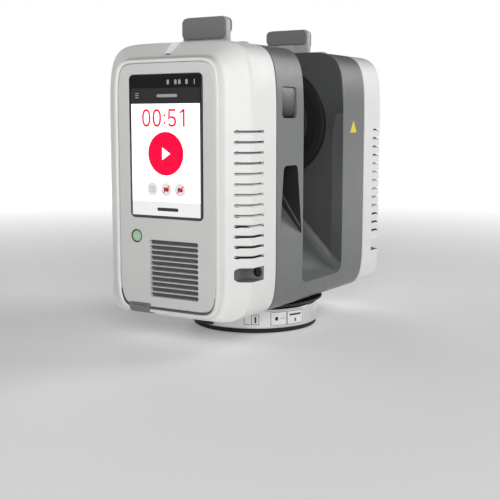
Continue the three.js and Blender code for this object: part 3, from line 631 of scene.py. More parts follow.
def make_saddle():
    """A low tent between the towers; its surface turns up to meet their walls."""
    ridge = [(60, 38.5), (50, 45.2), (24, 71.5), (12, 79), (0, 81)]
    fillet = 7.5
    half_steps, along_steps = 40, 48

    def height(x):
        x = abs(x)
        for (x1, z1), (x0, z0) in zip(ridge, ridge[1:]):
            if x >= x0:
                return z0 + (z1 - z0) * (x - x0) / (x1 - x0)
        return ridge[-1][1]

    def reach(x):
        share = min(max((61 - abs(x)) / 12, 0), 1)
        return TOWER_INNER - 0.15 + share * DISH_DEPTH

    def lift(distance):
        inside = distance - fillet
        return 0 if inside >= 0 else fillet - math.sqrt(max(fillet ** 2 - inside ** 2, 0))

    xs = [-60.2 + 120.4 * i / along_steps for i in range(along_steps + 1)]
    loops = []
    for x in xs:
        half = reach(x)
        top = []
        for step in range(half_steps + 1):
            y = half * math.sin(math.pi / 2 * (2 * step / half_steps - 1))
            top.append((x, y, height(x) + lift(half - abs(y))))
        loops.append([(x, -half, 20), *top, (x, half, 20)])
    saddle = loft("saddle", loops)
    envelope = loft("envelope", [ahead(body_outline(), 36), ahead(body_outline(), -36)])
    keep_inside(saddle, envelope)
    cut(saddle, block("drive_room", (-44, 44), (-27, 27), (BODY_BOTTOM - 1, 38)))
    place(saddle, "head", grey_paint, "chassis_bridge", angle=24)


def dish(name):
    """The hollow in a tower's inner wall: deep below and fading out towards the top."""
    near, face, deep = TOWER_INNER - 1.5, TOWER_INNER - 0.1, TOWER_INNER + DISH_DEPTH
    levels = [(21, 49.0, deep), (138, 49.0, deep), (150, 49.8, deep - 0.4),
              (162, 53.0, deep - 1.6), (170, 56.6, face + 0.6), (175, 59.5, face + 0.02)]
    loops = []
    for z, half_floor, floor in levels:
        half = [(HALF_WIDTH + 1, near), (HALF_WIDTH + 1, face), (half_floor, floor)]
        right = [(x, -y, z) for x, y in half]
        left = [(-x, -y, z) for x, y in reversed(half)]
        loops.append(right + left)
    return loft(name, loops)


def niche_points(grow=0.0):
    """The lower camera niche's opening in Y and Z: a tall trapezoid with round upper corners."""
    corners = [(-65.4 - grow, NICHE["bottom"] - grow), (-34 + grow, NICHE["bottom"] - grow),
               (-40.5 + grow, NICHE["top"] + grow), (-60 - grow, NICHE["top"] + grow)]
    points = corners[:2]
    for index in (2, 3):
        before, here, after = (Vector(corners[(index + k) % 4]) for k in (-1, 0, 1))
        points += soft_corner(before, here, after, 4, 6)
    return points


def niche_hollow(side):
    mouth = HALF_WIDTH + 1
    hollow = prism("niche", niche_points(), (NICHE["floor"], mouth), "x")
    ramp = [(mouth, NICHE["bottom"] - 1), (HALF_WIDTH, NICHE["bottom"]),
            (NICHE["floor"] - 1, NICHE["bottom"] + NICHE["rise"]),
            (NICHE["floor"] - 1, NICHE["bottom"] - 1)]
    slope = prism("ramp", ramp, (-70, -30))
    return mirrored(cut(hollow, slope), side)


def camera_opening():
    """The opening in Y and Z that a camera window sits in."""
    y, z = -CAMERA["y"], CAMERA["z"]
    width, height = CAMERA["half_width"], CAMERA["half_height"]
    return round_rectangle((y - width, y + width), (z - height, z + height), 3)


def tower_blank(name):
    edge = 0.9
    start, end = body_outline(edge), body_outline(0.35)
    full = body_outline()
    loops = rounding(ahead(start, TOWER_INNER), ahead(full, TOWER_INNER),
                     ahead(full, TOWER_INNER + edge))
    loops += [ahead(full, FRAME_END - 0.35), ahead(end, FRAME_END)]
    blank = loft(name, loops)
    hollow = body_outline(FRAME_WALL)
    cut(blank, loft("hollow", [ahead(hollow, TOWER_WALL), ahead(hollow, FRAME_END + 1)]))
    return cut(blank, dish("dish"))


def add_screw_bosses(tower):
    """The blocks in the frame's side walls that the housing screws thread into."""
    x, z, tip = SCREW["x"], SCREW["z"], SCREW["tip"]
    for side in SIDES:
        boss = block("boss", (x - 5.5, HALF_WIDTH - 2), (-FRAME_END, -tip + 3), (z - 5.5, z + 5.5))
        join(tower, mirrored(boss, side))
    for side in SIDES:
        hole = rod("thread", "y", SCREW["shank"] + GAP, (-FRAME_END - 1, -tip + GAP), (x, z), 24)
        cut(tower, mirrored(hole, side))


def make_frames():
    front = tower_blank("front_frame")
    add_screw_bosses(front)
    for side in SIDES:
        liner = prism("liner", niche_points(1.6), (NICHE["floor"] - 1.6, HALF_WIDTH - 1), "x")
        envelope = loft("inside", [ahead(body_outline(), TOWER_INNER + 0.5),
                                   ahead(body_outline(), FRAME_END)])
        join(front, mirrored(keep_inside(liner, envelope), side))
    for side in SIDES:
        cut(front, niche_hollow(side))
        cut(front, mirrored(prism("window", camera_opening(), (50, 61), "x"), side))
    bore = rod("bore", "y", 30 + GAP, (-TOWER_WALL - 1, -TOWER_INNER + 1), (0, MIRROR_Z), 96)
    cut(front, bore)
    darker_inner_faces(place(front, "head", grey_paint, "front_tower_frame"))

    rear = tower_blank("rear_frame")
    add_screw_bosses(rear)
    cut(rear, rod("bore", "y", HUB_RADIUS + GAP, (-TOWER_WALL - 1, -TOWER_INNER + 1),
                  (0, MIRROR_Z), 128))
    cut(rear, mark_pocket())
    darker_inner_faces(place(rear, "head", grey_paint, "rear_tower_frame", turned=True))


def darker_inner_faces(tower):
    """A tower's flat faces that look at the other tower get a dark grey, the sloping faces round its
    hollow a grey between that and the sides, and its niches a near-black.
    """
    for finish in (inner_face_grey, border_face_grey, niche_black):
        tower.data.materials.append(finish)
    for face in tower.data.polygons:
        x, y, z = (abs(c) / MM for c in face.center)
        facing_in = y < TOWER_INNER + DISH_DEPTH + 0.5 and abs(face.normal.y) > 0.8
        in_niche = 33.9 < y < 65.5 and NICHE["bottom"] - 0.1 < z < NICHE["top"] + 0.1
        on_ramp = face.normal.z > 0.4
        if facing_in:
            face.material_index = 1 if abs(face.normal.y) > 0.975 else 2
        elif in_niche and NICHE["floor"] - 0.2 < x < HALF_WIDTH - 0.3 and not on_ramp:
            face.material_index = 3


def make_gaskets():
    for word, turned in TOWERS:
        outer, inner = body_outline(0.9), body_outline(3)
        ring = loft(f"{word}_seam", [ahead(outer, GASKET[0]), ahead(outer, GASKET[1])])
        cut(ring, loft("hole", [ahead(inner, GASKET[0] - 1), ahead(inner, GASKET[1] + 1)]))
        place(ring, "head", rubber, f"{word}_gasket", turned=turned)


# ------------------------------------------------------------------ shells


def shell_outside(name):
    """The white skin: straight sides, a crease, a chamfer, and a lip round the plate."""
    start, full = body_outline(0.4), body_outline()
    crease = ahead(full, crease_at)
    before = ahead(full, lambda z: crease_at(z) - 1.6)
    chamfer = ahead(chamfer_outline(CHAMFER_HALF_WIDTH, 24.2, 198.8), CHAMFER_END)
    lip_side = ahead(superellipse(43.4, 24.6, 197.6, 10, 10), LIP_SIDE)
    face = ahead(plate_outline(42.3, 25.6, 196.4), FACE)
    loops = [ahead(start, SHELL_START), ahead(full, SHELL_START + 0.4)]
    loops += rounding(before, crease, between(crease, chamfer, 0.16))
    loops += rounding(between(crease, chamfer, 0.9), chamfer, between(chamfer, lip_side, 0.35))
    outer = ahead(plate_outline(43.2, 24.9, 197.2), FACE - 0.1)
    loops += rounding(lip_side, outer, face, 5)
    return loft(name, loops)


def shell_inside():
    inner = body_outline(SHELL_WALL)
    return loft("inside", [ahead(inner, SHELL_START - 1),
                           ahead(inner, lambda z: crease_at(z, 1.2)),
                           ahead(chamfer_outline(41.2, 27.6, 195.4), CHAMFER_END - 1.4)])


def plate_gap_outline(inset):
    """The outer edge of the gap round a plate."""
    return plate_outline(PLATE_HALF_WIDTH + PLATE_GAPS["side"] - inset,
                         PLATE_BOTTOM - PLATE_GAPS["bottom"] + inset,
                         PLATE_TOP + PLATE_GAPS["top"] - inset)


def plate_seat():
    """The opening in a shell's lip, and the ledge behind it that the plate rests on."""
    ledge = plate_outline(PLATE_HALF_WIDTH - 2.4, PLATE_BOTTOM + 2.4, PLATE_TOP - 2.4)
    seat = plate_gap_outline(0)
    flare = plate_outline(PLATE_HALF_WIDTH + 1.1, PLATE_BOTTOM - 2, PLATE_TOP + 1)
    return [loft("ledge", [ahead(ledge, CHAMFER_END - 3), ahead(ledge, FACE + 1)]),
            loft("seat", [ahead(seat, PLATE_BACK - GAP), ahead(seat, FACE - 0.7),
                          ahead(flare, FACE + 0.1), ahead(flare, FACE + 1)])]


def make_plate_gap_shades():
    """A dark strip in the wider gap below each plate and round its lower corners: painted shade in
    the gap.
    """
    clear = 0.04
    outer = plate_gap_outline(clear)
    inner = plate_outline(PLATE_HALF_WIDTH + clear, PLATE_BOTTOM - clear, PLATE_TOP + clear)
    for word, turned in TOWERS:
        strip = loft(f"{word}_plate_gap_shade", [ahead(outer, PLATE_BACK), ahead(outer, FACE - 0.75)])
        cut(strip, loft("plate_space", [ahead(inner, PLATE_BACK - 1), ahead(inner, FACE)]))
        cut(strip, block("upper_part", (-HALF_WIDTH, HALF_WIDTH), (-FACE - 1, -PLATE_BACK + 1),
                         (PLATE_BOTTOM + 11, PLATE_TOP + 1)))
        if not turned:
            cut(strip, flap_notch(GAP))
        place(strip, "head", gap_shade_grey, turned=turned)


def vent_cutters(side):
    """Slots whose lower face slopes outwards, with a round hole at each end."""
    near, far, radius = VENT["near"], VENT["far"], VENT["height"] / 2
    slope = (HALF_WIDTH - CHAMFER_HALF_WIDTH) / (CHAMFER_END - CREASE)
    loops = []
    for y, depth in ((near + radius, 2.2), (CREASE - 0.6, 2.2), (CREASE + 0.8, 3.4),
                     (far - radius, 3.6)):
        skin = HALF_WIDTH - max(y - CREASE, 0) * slope
        loops.append([(skin + 0.7, -y, -0.95), (skin + 0.7, -y, 0.25), (skin - depth, -y, 0.25),
                      (skin - depth, -y, 0.1)])
    vent = loft("vent", loops)
    through = round_rectangle((-far + 0.5, -near - 0.5), (0.05, radius), 0.3, 3)
    hole = VENT["end_hole"]
    ends = [rod("end", "x", hole, (45, 62), (-y, 0), 20) for y in (far - hole, near + hole)]
    join(vent, prism("through", through, (45, 62), "x"), *ends)
    rows = []
    for row in range(VENT["count"]):
        rows.append(moved(linked("row", vent.data.copy()),
                          (0, 0, VENT["first"] + row * VENT["pitch"])))
    bpy.data.objects.remove(vent)
    return mirrored(merged("vents", rows), side)


def make_vent_meshes():
    """A dust mesh close behind the slots; their round ends stay open past it."""
    margin, inner_slope, thickness = 2.5, 1.62, 0.6
    low = VENT["first"] - margin
    high = VENT["first"] + (VENT["count"] - 1) * VENT["pitch"] + margin
    for word, turned in TOWERS:
        loops = []
        for y in (VENT["near"] + 2.3, CREASE - 1.6, VENT["far"] - 2.4):
            x = HALF_WIDTH - SHELL_WALL - 0.15 - max(y - CREASE + 1.3, 0) * inner_slope
            loops.append([(x, -y, low), (x, -y, high), (x - thickness, -y, high),
                          (x - thickness, -y, low)])
        sheet = mirrored(loft(f"{word}_vent_mesh", loops), VENT_SIDE[word])
        place(sheet, "head", mesh_grey, turned=turned)


def recess_hollow(side, end):
    """The way in for a screwdriver: square at the back, where the screw is, and round ahead."""
    bottom, top, corner = RECESS["bottom"], RECESS["top"], RECESS["corner"]
    points = [(-VENT["near"], bottom), (-VENT["near"], top)]
    for z, start in ((top - corner, 90), (bottom + corner, 180)):
        for step in range(9):
            angle = math.radians(start + 90 * step / 8)
            points.append((-end + corner + corner * math.cos(angle), z + corner * math.sin(angle)))
    pocket = prism("recess", points, (RECESS["floor"], 62), "x")
    centre = (SCREW["x"], SCREW["z"])
    join(pocket, rod("bore", "y", SCREW["bore"], (-VENT["near"] - 1, -SCREW["seat"]), centre, 48),
         rod("shank_hole", "y", SCREW["shank"] + GAP, (-SCREW["seat"] - 1, -SHELL_START), centre, 24))
    return mirrored(pocket, side)


def recess_liner(side, end):
    """The walls round a recess, kept inside the shell's skin."""
    wall = RECESS["wall"]
    liner = block("liner", (RECESS["floor"] - wall, 59), (-end - wall, -SHELL_START - 0.6),
                  (RECESS["bottom"] - wall, RECESS["top"] + wall))
    return mirrored(keep_inside(liner, shell_outside("envelope")), side)


def groove_section(place_on_brow, left, deepest, right, levels=(0.3, -1)):
    """A V across the brow; levels are its top and bottom in units of the groove's depth."""
    (y, z), rise = place_on_brow, NOTCH_DEPTH * math.sqrt(0.5)
    top, bottom = levels
    tip = (1 + bottom) * 0.5
    across = [(left + top * (left - deepest), top), (deepest + tip * (left - deepest), bottom),
              (deepest + tip * (right - deepest) + 0.01, bottom),
              (right + top * (right - deepest), top)]
    return [(x, -y - rise * t, z + rise * t) for x, t in across]


def along_groove(share):
    """The groove's place, left edge, deepest line and right edge part of the way down it."""
    (start, *xs), (end, *others) = GROOVE_START, GROOVE_END
    place_on_brow = tuple(a + (b - a) * share for a, b in zip(start, end))
    return (place_on_brow, *[a + (b - a) * share for a, b in zip(xs, others)])


def brow_notch():
    """The sighting groove down the brow: a V that narrows ahead, with a wide flank facing +X."""
    return loft("notch", [groove_section(*GROOVE_START), groove_section(*GROOVE_END)])


def make_sights():
    """A pale sheet in each groove that glows a little, a painted highlight, and a black sheet at its
    lower end, a painted shadow.
    """
    for word, turned in TOWERS:
        for name, finish, shares, top in (("sight_highlight", groove_highlight, (0.15, 0.87), -0.12),
                                          ("sight_shadow", matt_black, (0.88, 0.985), -0.3)):
            sections = [groove_section(*along_groove(share), (top, -0.85)) for share in shares]
            place(loft(f"{word}_{name}", sections), "head", finish, turned=turned)


def make_shells():
    """The vents and the long recesses are on the +X side of both towers."""
    for word, turned in TOWERS:
        vent_side = VENT_SIDE[word]
        shell = shell_outside(f"{word}_shell_skin")
        cut(shell, shell_inside())
        ends = {vent_side: VENT["far"], -vent_side: RECESS["short_end"]}
        for side, end in ends.items():
            join(shell, recess_liner(side, end))
        for side, end in ends.items():
            cut(shell, recess_hollow(side, end))
        cut(shell, vent_cutters(vent_side), *plate_seat(), brow_notch())
        if not turned:
            cut(shell, flap_notch(GAP))
        place(shell, "head", white_plastic, f"{word}_shell", turned=turned)
        darken_recess(shell)


def darken_recess(shell):
    """The recess walls get a dark grey and the screw bore at their back end black, and a shell's
    inward-facing faces are black.
    """
    shell.data.materials.append(recess_grey)
    shell.data.materials.append(matt_black)
    low, high = RECESS["bottom"] - 0.2, RECESS["top"] + 0.2
    near, far = SCREW["seat"] - 0.2, VENT["far"] + 0.2
    floor, middle = RECESS["floor"], (BODY_BOTTOM + BODY_TOP) / 2
    for face in shell.data.polygons:
        x, y, z = (abs(c) / MM for c in face.center)
        lined = low < z < high and near < y < far and floor - 0.2 < x < 59.6
        side_wall = abs(face.normal.x) < 0.4 or x < floor + 0.3
        outward = face.normal.x * face.center.x + face.normal.z * (face.center.z - middle * MM)
        if lined and y < VENT["near"] - 0.1:
            face.material_index = 2
        elif lined and side_wall:
            face.material_index = 1
        elif outward < -0.012 and y < CHAMFER_END - 1.3:
            face.material_index = 2


def flap_notch(clearance):
    """The room that the port cover takes up in the plate and the lip."""
    return block("flap_notch", (FLAP["left"] - clearance, FLAP["right"] + clearance),
                 (-FACE - 2, -FLAP["back"] + clearance), (BODY_BOTTOM - 4, FLAP["top"] + clearance))


def plate_blank(name):
    """A plate without its openings; its front edge is round."""
    edge = 1.2
    inner = plate_outline(PLATE_HALF_WIDTH - edge, PLATE_BOTTOM + edge, PLATE_TOP - edge)
    outer = plate_outline(PLATE_HALF_WIDTH, PLATE_BOTTOM, PLATE_TOP)
    loops = [ahead(outer, PLATE_BACK)]
    loops += rounding(ahead(outer, PLATE_FRONT - edge), ahead(outer, PLATE_FRONT),
                      ahead(inner, PLATE_FRONT))
    return loft(name, loops)


def flared_hole(name, points, wider):
    """A hole through a plate, with a small chamfer round its mouth."""
    return loft(name, [ahead(points, PLATE_BACK - 1), ahead(points, PLATE_FRONT - 0.35),
                       ahead(wider, PLATE_FRONT + 0.02), ahead(wider, PLATE_FRONT + 1)])


def screen_edge(grow):
    return round_rectangle((-SCREEN_HALF_WIDTH - grow, SCREEN_HALF_WIDTH + grow),
                           (SCREEN_BOTTOM - grow, SCREEN_TOP + grow), 3 + grow, 8)


def slot_edge(row, grow):
    radius = GRILLE["height"] / 2 + grow
    z = GRILLE["first"] + row * GRILLE["pitch"]
    half = GRILLE["half"] + grow
    return round_rectangle((GRILLE["x"] - half, GRILLE["x"] + half), (z - radius, z + radius),
                           radius * 0.98, 5)


def make_front_plate():
    plate = plate_blank("front_face")
    cut(plate, flared_hole("screen_hole", screen_edge(0.4), screen_edge(0.8)))
    centre = (BUTTON["x"], BUTTON["z"])
    cut(plate, flared_hole("button_hole", circle(centre, BUTTON["radius"] + 0.6),
                           circle(centre, BUTTON["radius"] + 0.7)))
    slots = [flared_hole(f"slot_{row}", slot_edge(row, 0.2), slot_edge(row, 0.4))
             for row in range(GRILLE["count"])]
    cut(plate, merged("slots", slots))
    cut(plate, flap_notch(GAP))
    place(plate, "head", plate_plastic, "front_plate")

    backing = prism("grille_screen", round_rectangle((-15.4, 27), (35, 76.6), 1.5),
                    (-PLATE_BACK + 0.45, -PLATE_BACK + 0.15))
    place(backing, "head", groove_grey)


def make_power_button():
    """The green cap, which slides in a black ring."""
    centre, radius, face = (BUTTON["x"], BUTTON["z"]), BUTTON["radius"], -PLATE_FRONT
    outer, inner, sleeve_radius, ring_back = radius + 0.75, radius + 0.2, radius + 0.58, -113.3
    bezel = [(inner, face - 0.15), (inner + 0.3, face - 0.3), (outer, face - 0.02),
             (outer, face + 0.3), (sleeve_radius, face + 0.4), (sleeve_radius, ring_back),
             (inner, ring_back)]
    place(lathe("power_bezel", bezel, "y", 64, centre), "head", black_plastic)

    cap_profile = [(0, face - 0.6), (2.6, face - 0.5), (3.5, face - 0.2), (radius, face + 0.4),
                   (radius, -110), (0, -110)]
    cap = lathe("power_cap", cap_profile, "y", 48, centre)
    join(cap, rod("collar", "y", 5.6, (-111.2, -109), centre))
    place(cap, "power", button_cap, "power_button")


def make_flap():
    """The port cover, on a hinge behind the lip, with a small hollow for a fingernail."""
    front, pivot_y, pivot_z, hinge = FACE - 0.2, FLAP["pivot_y"], FLAP["pivot_z"], 1.1
    profile = [(-pivot_y, pivot_z - hinge), (-front + 2.4, pivot_z - 0.8), (-front + 0.9, 25),
               (-front, 26.4), (-front, FLAP["top"]), (-front + 3.3, FLAP["top"]),
               (-front + 3.3, 27.4), (-pivot_y - 1.2, 27.4), (-pivot_y, pivot_z + hinge)]
    arm = prism("flap_arm", profile, (FLAP["left"], FLAP["right"]), "x")
    join(arm, rod("hinge", "x", hinge, (FLAP["left"], FLAP["right"]), (-pivot_y, pivot_z), 24))
    finger = prism("finger", round_rectangle((-29.5, -17), (28.9, 29.5), 0.28, 3),
                   (-FACE - 1, -front + 0.7))
    cut(arm, finger)
    place(arm, "flap", soft_pad, "port_flap")


# ------------------------------------------------------------------ screws, cameras, optics


def make_screws():
    """Socket-head screws that run along Y and hold a shell on its frame."""
    centre = (SCREW["x"], SCREW["z"])
    radius, face, seat = SCREW["bore"] - GAP, -SCREW["face"], -SCREW["seat"] - GAP
    shank, tip = SCREW["shank"], -SCREW["tip"]
    profile = [(0, face), (radius - 0.5, face), (radius - 0.15, face + 0.15), (radius, face + 0.5),
               (radius, seat), (shank, seat), (shank, tip - 0.5), (shank - 0.4, tip), (0, tip)]
    for word, turned in TOWERS:
        for side, letter in ((1, "a"), (-1, "b")):
            screw = lathe(f"{word}_screw_head_{letter}", profile, "y", 40, centre)
            cut(screw, rod("socket", "y", 1.45, (face - 1, face + 1.6), centre, 6))
            place(mirrored(screw, side), "head", dark_steel, f"{word}_screw_{letter}",
                  turned=turned)


def make_camera_windows():
    """A slightly bulging dark glass on each side of the front tower, and the niche below it."""
    bulge = ((0.3, 57.2), (0.3, 58.2), (0.7, 58.5), (1.4, 58.8), (2.6, 59.1), (4.4, 59.4),
             (6.4, 59.6), (8.6, 59.7))
    rib_stations = ((59.2, 81.6), (52, 93.6), (44.5, 106.5))
    back = round_rectangle((-58.4, -42), (98, 122.8), 3)
    for side, word in ((1, "right"), (-1, "left")):
        rings = [[(x, y, z) for y, z in camera_ring(inset)] for inset, x in bulge]
        glass = loft(f"{word}_camera_pane", rings)
        place(mirrored(glass, side), "head", camera_glass, f"{word}_camera_window",
              angle=60)
        lining = prism(f"{word}_niche_back", back, (NICHE["floor"] + 0.1, NICHE["floor"] + 0.5), "x")
        place(mirrored(lining, side), "head", lens_glass)
        rib = loft(f"{word}_niche_rib", [niche_rib_section(*station) for station in rib_stations])
        place(mirrored(rib, side), "head", niche_rib)


def niche_rib_section(x, z):
    """A low rib on the niche's rear wall, which leans forward as it rises."""
    wall = -34 - 6.5 * (z - NICHE["bottom"]) / (NICHE["top"] - NICHE["bottom"])
    return [(x, wall + 0.2, z - 1.2), (x, wall - 0.7, z - 0.9), (x, wall - 0.7, z + 0.9),
            (x, wall + 0.2, z + 1.2)]


def camera_ring(inset):
    """The camera window's outline in Y and Z, drawn in by inset."""
    y, z = -CAMERA["y"], CAMERA["z"]
    width, height = CAMERA["half_width"] - inset, CAMERA["half_height"] - inset
    radius = max(3.3 - inset * 0.5, 0.6)
    return round_rectangle((y - width, y + width), (z - height, z + height),
                           min(radius, width * 0.9), 6)


def make_optics():
    """Everything round on the mirror's axis, and the mirror, which is cut at 45 degrees."""
    axis = (0, MIRROR_Z)
    hub = [(35.6, 30.9), (36.1, 30.6), (41.8, 30.6), (42.2, 31.0), (42.8, 31.0), (43.1, 30.7),
           (HUB_RADIUS, 31.0), (HUB_RADIUS, 41), (35.6, 41)]
    ring = [(24.6, -40), (30, -40), (30, -31.6), (29.5, -31.1), (27, -31.1), (24.6, -33.2)]
    window = [(0, -36), (24.3, -36), (24.3, -34.4), (18, -34.1), (0, -34)]
    for name, profile, segments, finish, slot, node in (
            ("hub_ring", hub, 160, matt_black, "black_plastic", "mirror_hub_ring"),
            ("beam_ring", ring, 128, black_plastic, "black_plastic", "beam_window_ring"),
            ("beam_glass", window, 96, lens_glass, "optic_glass", "beam_window")):
        place(lathe(name, profile, "y", segments, axis), "head", finish, node)

    thickness = 3
    glass = cut(rod("mirror_glass", "y", MIRROR_RADIUS, (-40, 40), segments=128),
                slanted(0, 1))
    cut(glass, slanted(thickness / math.sqrt(2), -1))
    place(moved(glass, (0, 0, MIRROR_Z)), "mirror_unit", mirror_coat, "mirror")

    drum = lathe("rotor_drum", [(0, -40), (MIRROR_RADIUS, -40), (MIRROR_RADIUS, 30.4),
                                (28.4, 31.8), (34.6, 31.8), (35, 32.2), (35, 40), (6.3, 40),
                                (6.3, 34), (0, 34)], "y", 128)
    cut(drum, slanted((thickness + GAP) / math.sqrt(2), 1))
    for radius in (30.2, 32.6):
        cut(drum, lathe("ring", [(radius, 31), (radius + 0.7, 31), (radius + 0.7, 32.1),
                                 (radius, 32.1)], "y", 96))
    place(moved(drum, (0, 0, MIRROR_Z)), "mirror_unit", matt_black, "mirror_rotor")


def slanted(offset, side):
    """Half of space, cut at 45 degrees through the mirror's axis: above the mirror, or below."""
    size = 120
    half = block("slant", (-size, size), (-size, 0) if side > 0 else (0, size), (-size, size))
    moved(half, turn=math.radians(-45), axis="X")
    return moved(half, (0, offset, -offset))


# ------------------------------------------------------------------ rear face


def make_rear_plate():
    plate = plate_blank("rear_face")
    half = DOOR["half"] + 0.5
    opening = block("opening", (-half, half), (-PLATE_FRONT - 1, -PLATE_BACK + 1),
                    (DOOR["bottom"] - 0.5, DOOR["top"] + 0.5))
    cut(plate, opening)
    place(plate, "head", plate_plastic, "rear_plate", turned=True)


def make_battery_door():
    """The door on its hinge barrel, with a sliding latch let into it."""
    front, thick, edge, half = DOOR["front"], DOOR["thickness"], DOOR["edge"], DOOR["half"]
    pivot = -half + edge
    leaf = block("battery_lid", (pivot, half), (-front, -front + thick),
                 (DOOR["bottom"], DOOR["top"]))
    rounded(leaf, 0.4)
    join(leaf, rod("barrel", "z", edge, (DOOR["bottom"], DOOR["top"]), (pivot, -front + thick / 2),
                   32))
    cut(leaf, block("latch_slot", (half - 14.4, half - 3.6), (-front - 1, -front + 1.6),
                    (97.6, 110.4)))
    for row in range(5):
        z = 70 + row * 1.9
        line = round_rectangle((-8, 18), (z, z + 0.7), 0.3, 3)
        cut(leaf, prism("line", line, (-front - 1, -front + 0.35)))
    place(leaf, "door", plate_plastic, "battery_door", turned=True)

    slider = block("latch_slider", (15, 22), (-PLATE_FRONT, -front + 1.3), (98, 110), edge=0.3)
    for i in range(4):
        x = 16.3 + 1.4 * i
        cut(slider, block("rib", (x, x + 0.6), (-PLATE_FRONT - 1, -PLATE_FRONT + 0.35),
                          (99.5, 108.5)))
    place(slider, "latch", soft_pad, "battery_latch", turned=True)


def make_batteries():
    for side, word in ((1, "left"), (-1, "right")):
        pack = prism(f"battery_pack_{word}", round_rectangle((0.8, 26.6), (62, 146), 3),
                     (-110, -78))
        rounded(pack, 0.8)
        cut(pack, prism("recess", round_rectangle((5, 22.4), (88, 138), 1.5), (-111, -109.6)))
        place(mirrored(pack, side), "head", battery_case, f"battery_{word}",
              turned=True)


# ------------------------------------------------------------------ grips


def make_grips():
    half, inner, outer, bottom, top = (GRIP[k] for k in ("half", "inner", "outer", "bottom", "top"))
    for word, turned in TOWERS:
        x = -GRIP["x"] if turned else GRIP["x"]
        upright = prism(f"{word}_grip_core", round_rectangle((-half, half), (bottom - 8, top), 5, 8),
                        (-outer, -inner))
        keep_inside(upright, block("above", (-60, 60), (-80, -40), (bottom, top + 1)))
        rounded(upright, 0.9)
        foot = block("foot", (-33, 33), (-outer - 0.6, -inner + 1), (bottom, bottom + 1.6), 0.5)
        stem = block("stem", (-7, 7), (-inner - 1, -inner + 2.2), (bottom, bottom + 8), 0.4)
        join(upright, foot, stem)

        inset = 0.6
        face = round_rectangle((-half + inset, half - inset), (bottom + 4.4, top - inset), 4, 8)
        pad = rounded(prism(f"{word}_grip_skin", face, (-outer - 2, -outer - GAP)), 0.5)
        lip = round_rectangle((-half + inset, half - inset), (217.6, top - inset), 3.6, 8)
        edge = rounded(prism(f"{word}_grip_edge", lip, (-inner + GAP, -inner + 2.6)), 0.5)

        for piece, finish, slot, node in ((upright, grip_plastic, "grip_light", "grip"),
                                          (pad, soft_pad, "soft_pad", "grip_pad"),
                                          (edge, soft_pad, "soft_pad", "grip_lip")):
            place(moved(piece, (x, 0, 0)), "head", finish, f"{word}_{node}", turned=turned)


# ------------------------------------------------------------------ display


def make_display():
    """The glass, and the picture as thin sheets in numbered layers in front of it."""
    front, step = SCREEN_FRONT, PICTURE_LAYER
    loops = [ahead(screen_edge(0), 114.2)]
    loops += rounding(ahead(screen_edge(0), front - 0.3), ahead(screen_edge(0), front),
                      ahead(screen_edge(-0.3), front))
    place(loft("screen_cover", loops), "head", screen_glass, "display_glass")

    def sheet(name, points, finish, layer=1):
        low = front + (layer - 1) * step
        piece = prism(name, points, (-low - step, -low))
        return place(piece, "head", finish)

    def panel(name, xs, zs, finish, layer=1, radius=0.05):
        return sheet(name, round_rectangle(xs, zs, radius, 3), finish, layer)

    left, right = -28.2, 28.6
    panel("screen_status", (left, right), (178, 185.4), screen_status)
    panel("screen_header", (left, right), (167.7, 178), screen_header)
    panel("screen_page", (left, right), (102, 167.7), screen_white)
    panel("screen_footer", (left, right), (92.4, 102), screen_footer)
    panel("header_title", (-6.5, 10.5), (171.9, 173.9), screen_pale, 2, 0.9)
    for row in range(3):
        z = 171.5 + row * 1.4
        panel(f"header_menu_{row}", (-24.6, -21.8), (z, z + 0.6), screen_pale, 2, 0.2)
    for index, x in enumerate((2, 8.2, 11.4, 17.2)):
        panel(f"status_icon_{index}", (x, x + 1.9), (180.2, 183.4), screen_pale, 2, 0.7)
    panel("status_more", (24, 24.7), (180, 183.4), screen_pale, 2, 0.3)
    panel("footer_title", (-7, 10.5), (95.7, 98), screen_dark, 2, 0.9)

    middle = (0.5, 134.4)
    sheet("start_disc", circle(middle, 14.6, 96), screen_red, 2)
    arrow = [(-2.9, -4.3), (3.9, 0), (-2.9, 4.3)]
    sheet("start_arrow", [(middle[0] + u, middle[1] + v) for u, v in arrow], screen_white, 3)
    for index, x in enumerate((-10.9, 0.7, 12.2)):
        sheet(f"mode_disc_{index}", circle((x, 110.4), 4.5, 64), screen_icon, 2)
        if index == 0:
            dots = [prism("dot", circle((x - 1.5 + 1.5 * i, 108.9 + 1.5 * j), 0.45, 12),
                          (-front - 3 * step, -front - 2 * step))
                    for i in range(3) for j in range(3)]
            place(merged("mode_dots", dots), "head", screen_pale)
        else:
            panel(f"mode_mark_{index}", (x - 2, x + 2), (109.1, 111.7), screen_dark, 3, 0.5)
            bar = [(-2.9, -2.2), (-2.3, -2.8), (2.9, 2.2), (2.3, 2.8)]
            sheet(f"mode_slash_{index}", [(x + u, 110.4 + v) for u, v in bar], screen_red, 4)
    make_timer(front + step)


def make_timer(low):
    """Four digits and a colon; each stroke is a little thicker than the one before it."""
    height, width, stroke = 11.7, 7.0, 1.35
    bottom = 152.4
    starts = (-18.9, -10, 2.4, 11.6)
    parts = []
    for digit, start in zip("0051", starts):
        parts += digit_strokes(digit, start, bottom, width, height, stroke)
    for z in (bottom + 2.6, bottom + 7.4):
        parts.append(circle((-0.2, z), 0.78, 16))
    pieces = [prism(f"stroke_{i}", points, (-low - PICTURE_LAYER - 0.001 * i, -low))
              for i, points in enumerate(parts)]
    place(merged("timer_digits", pieces), "head", screen_red)


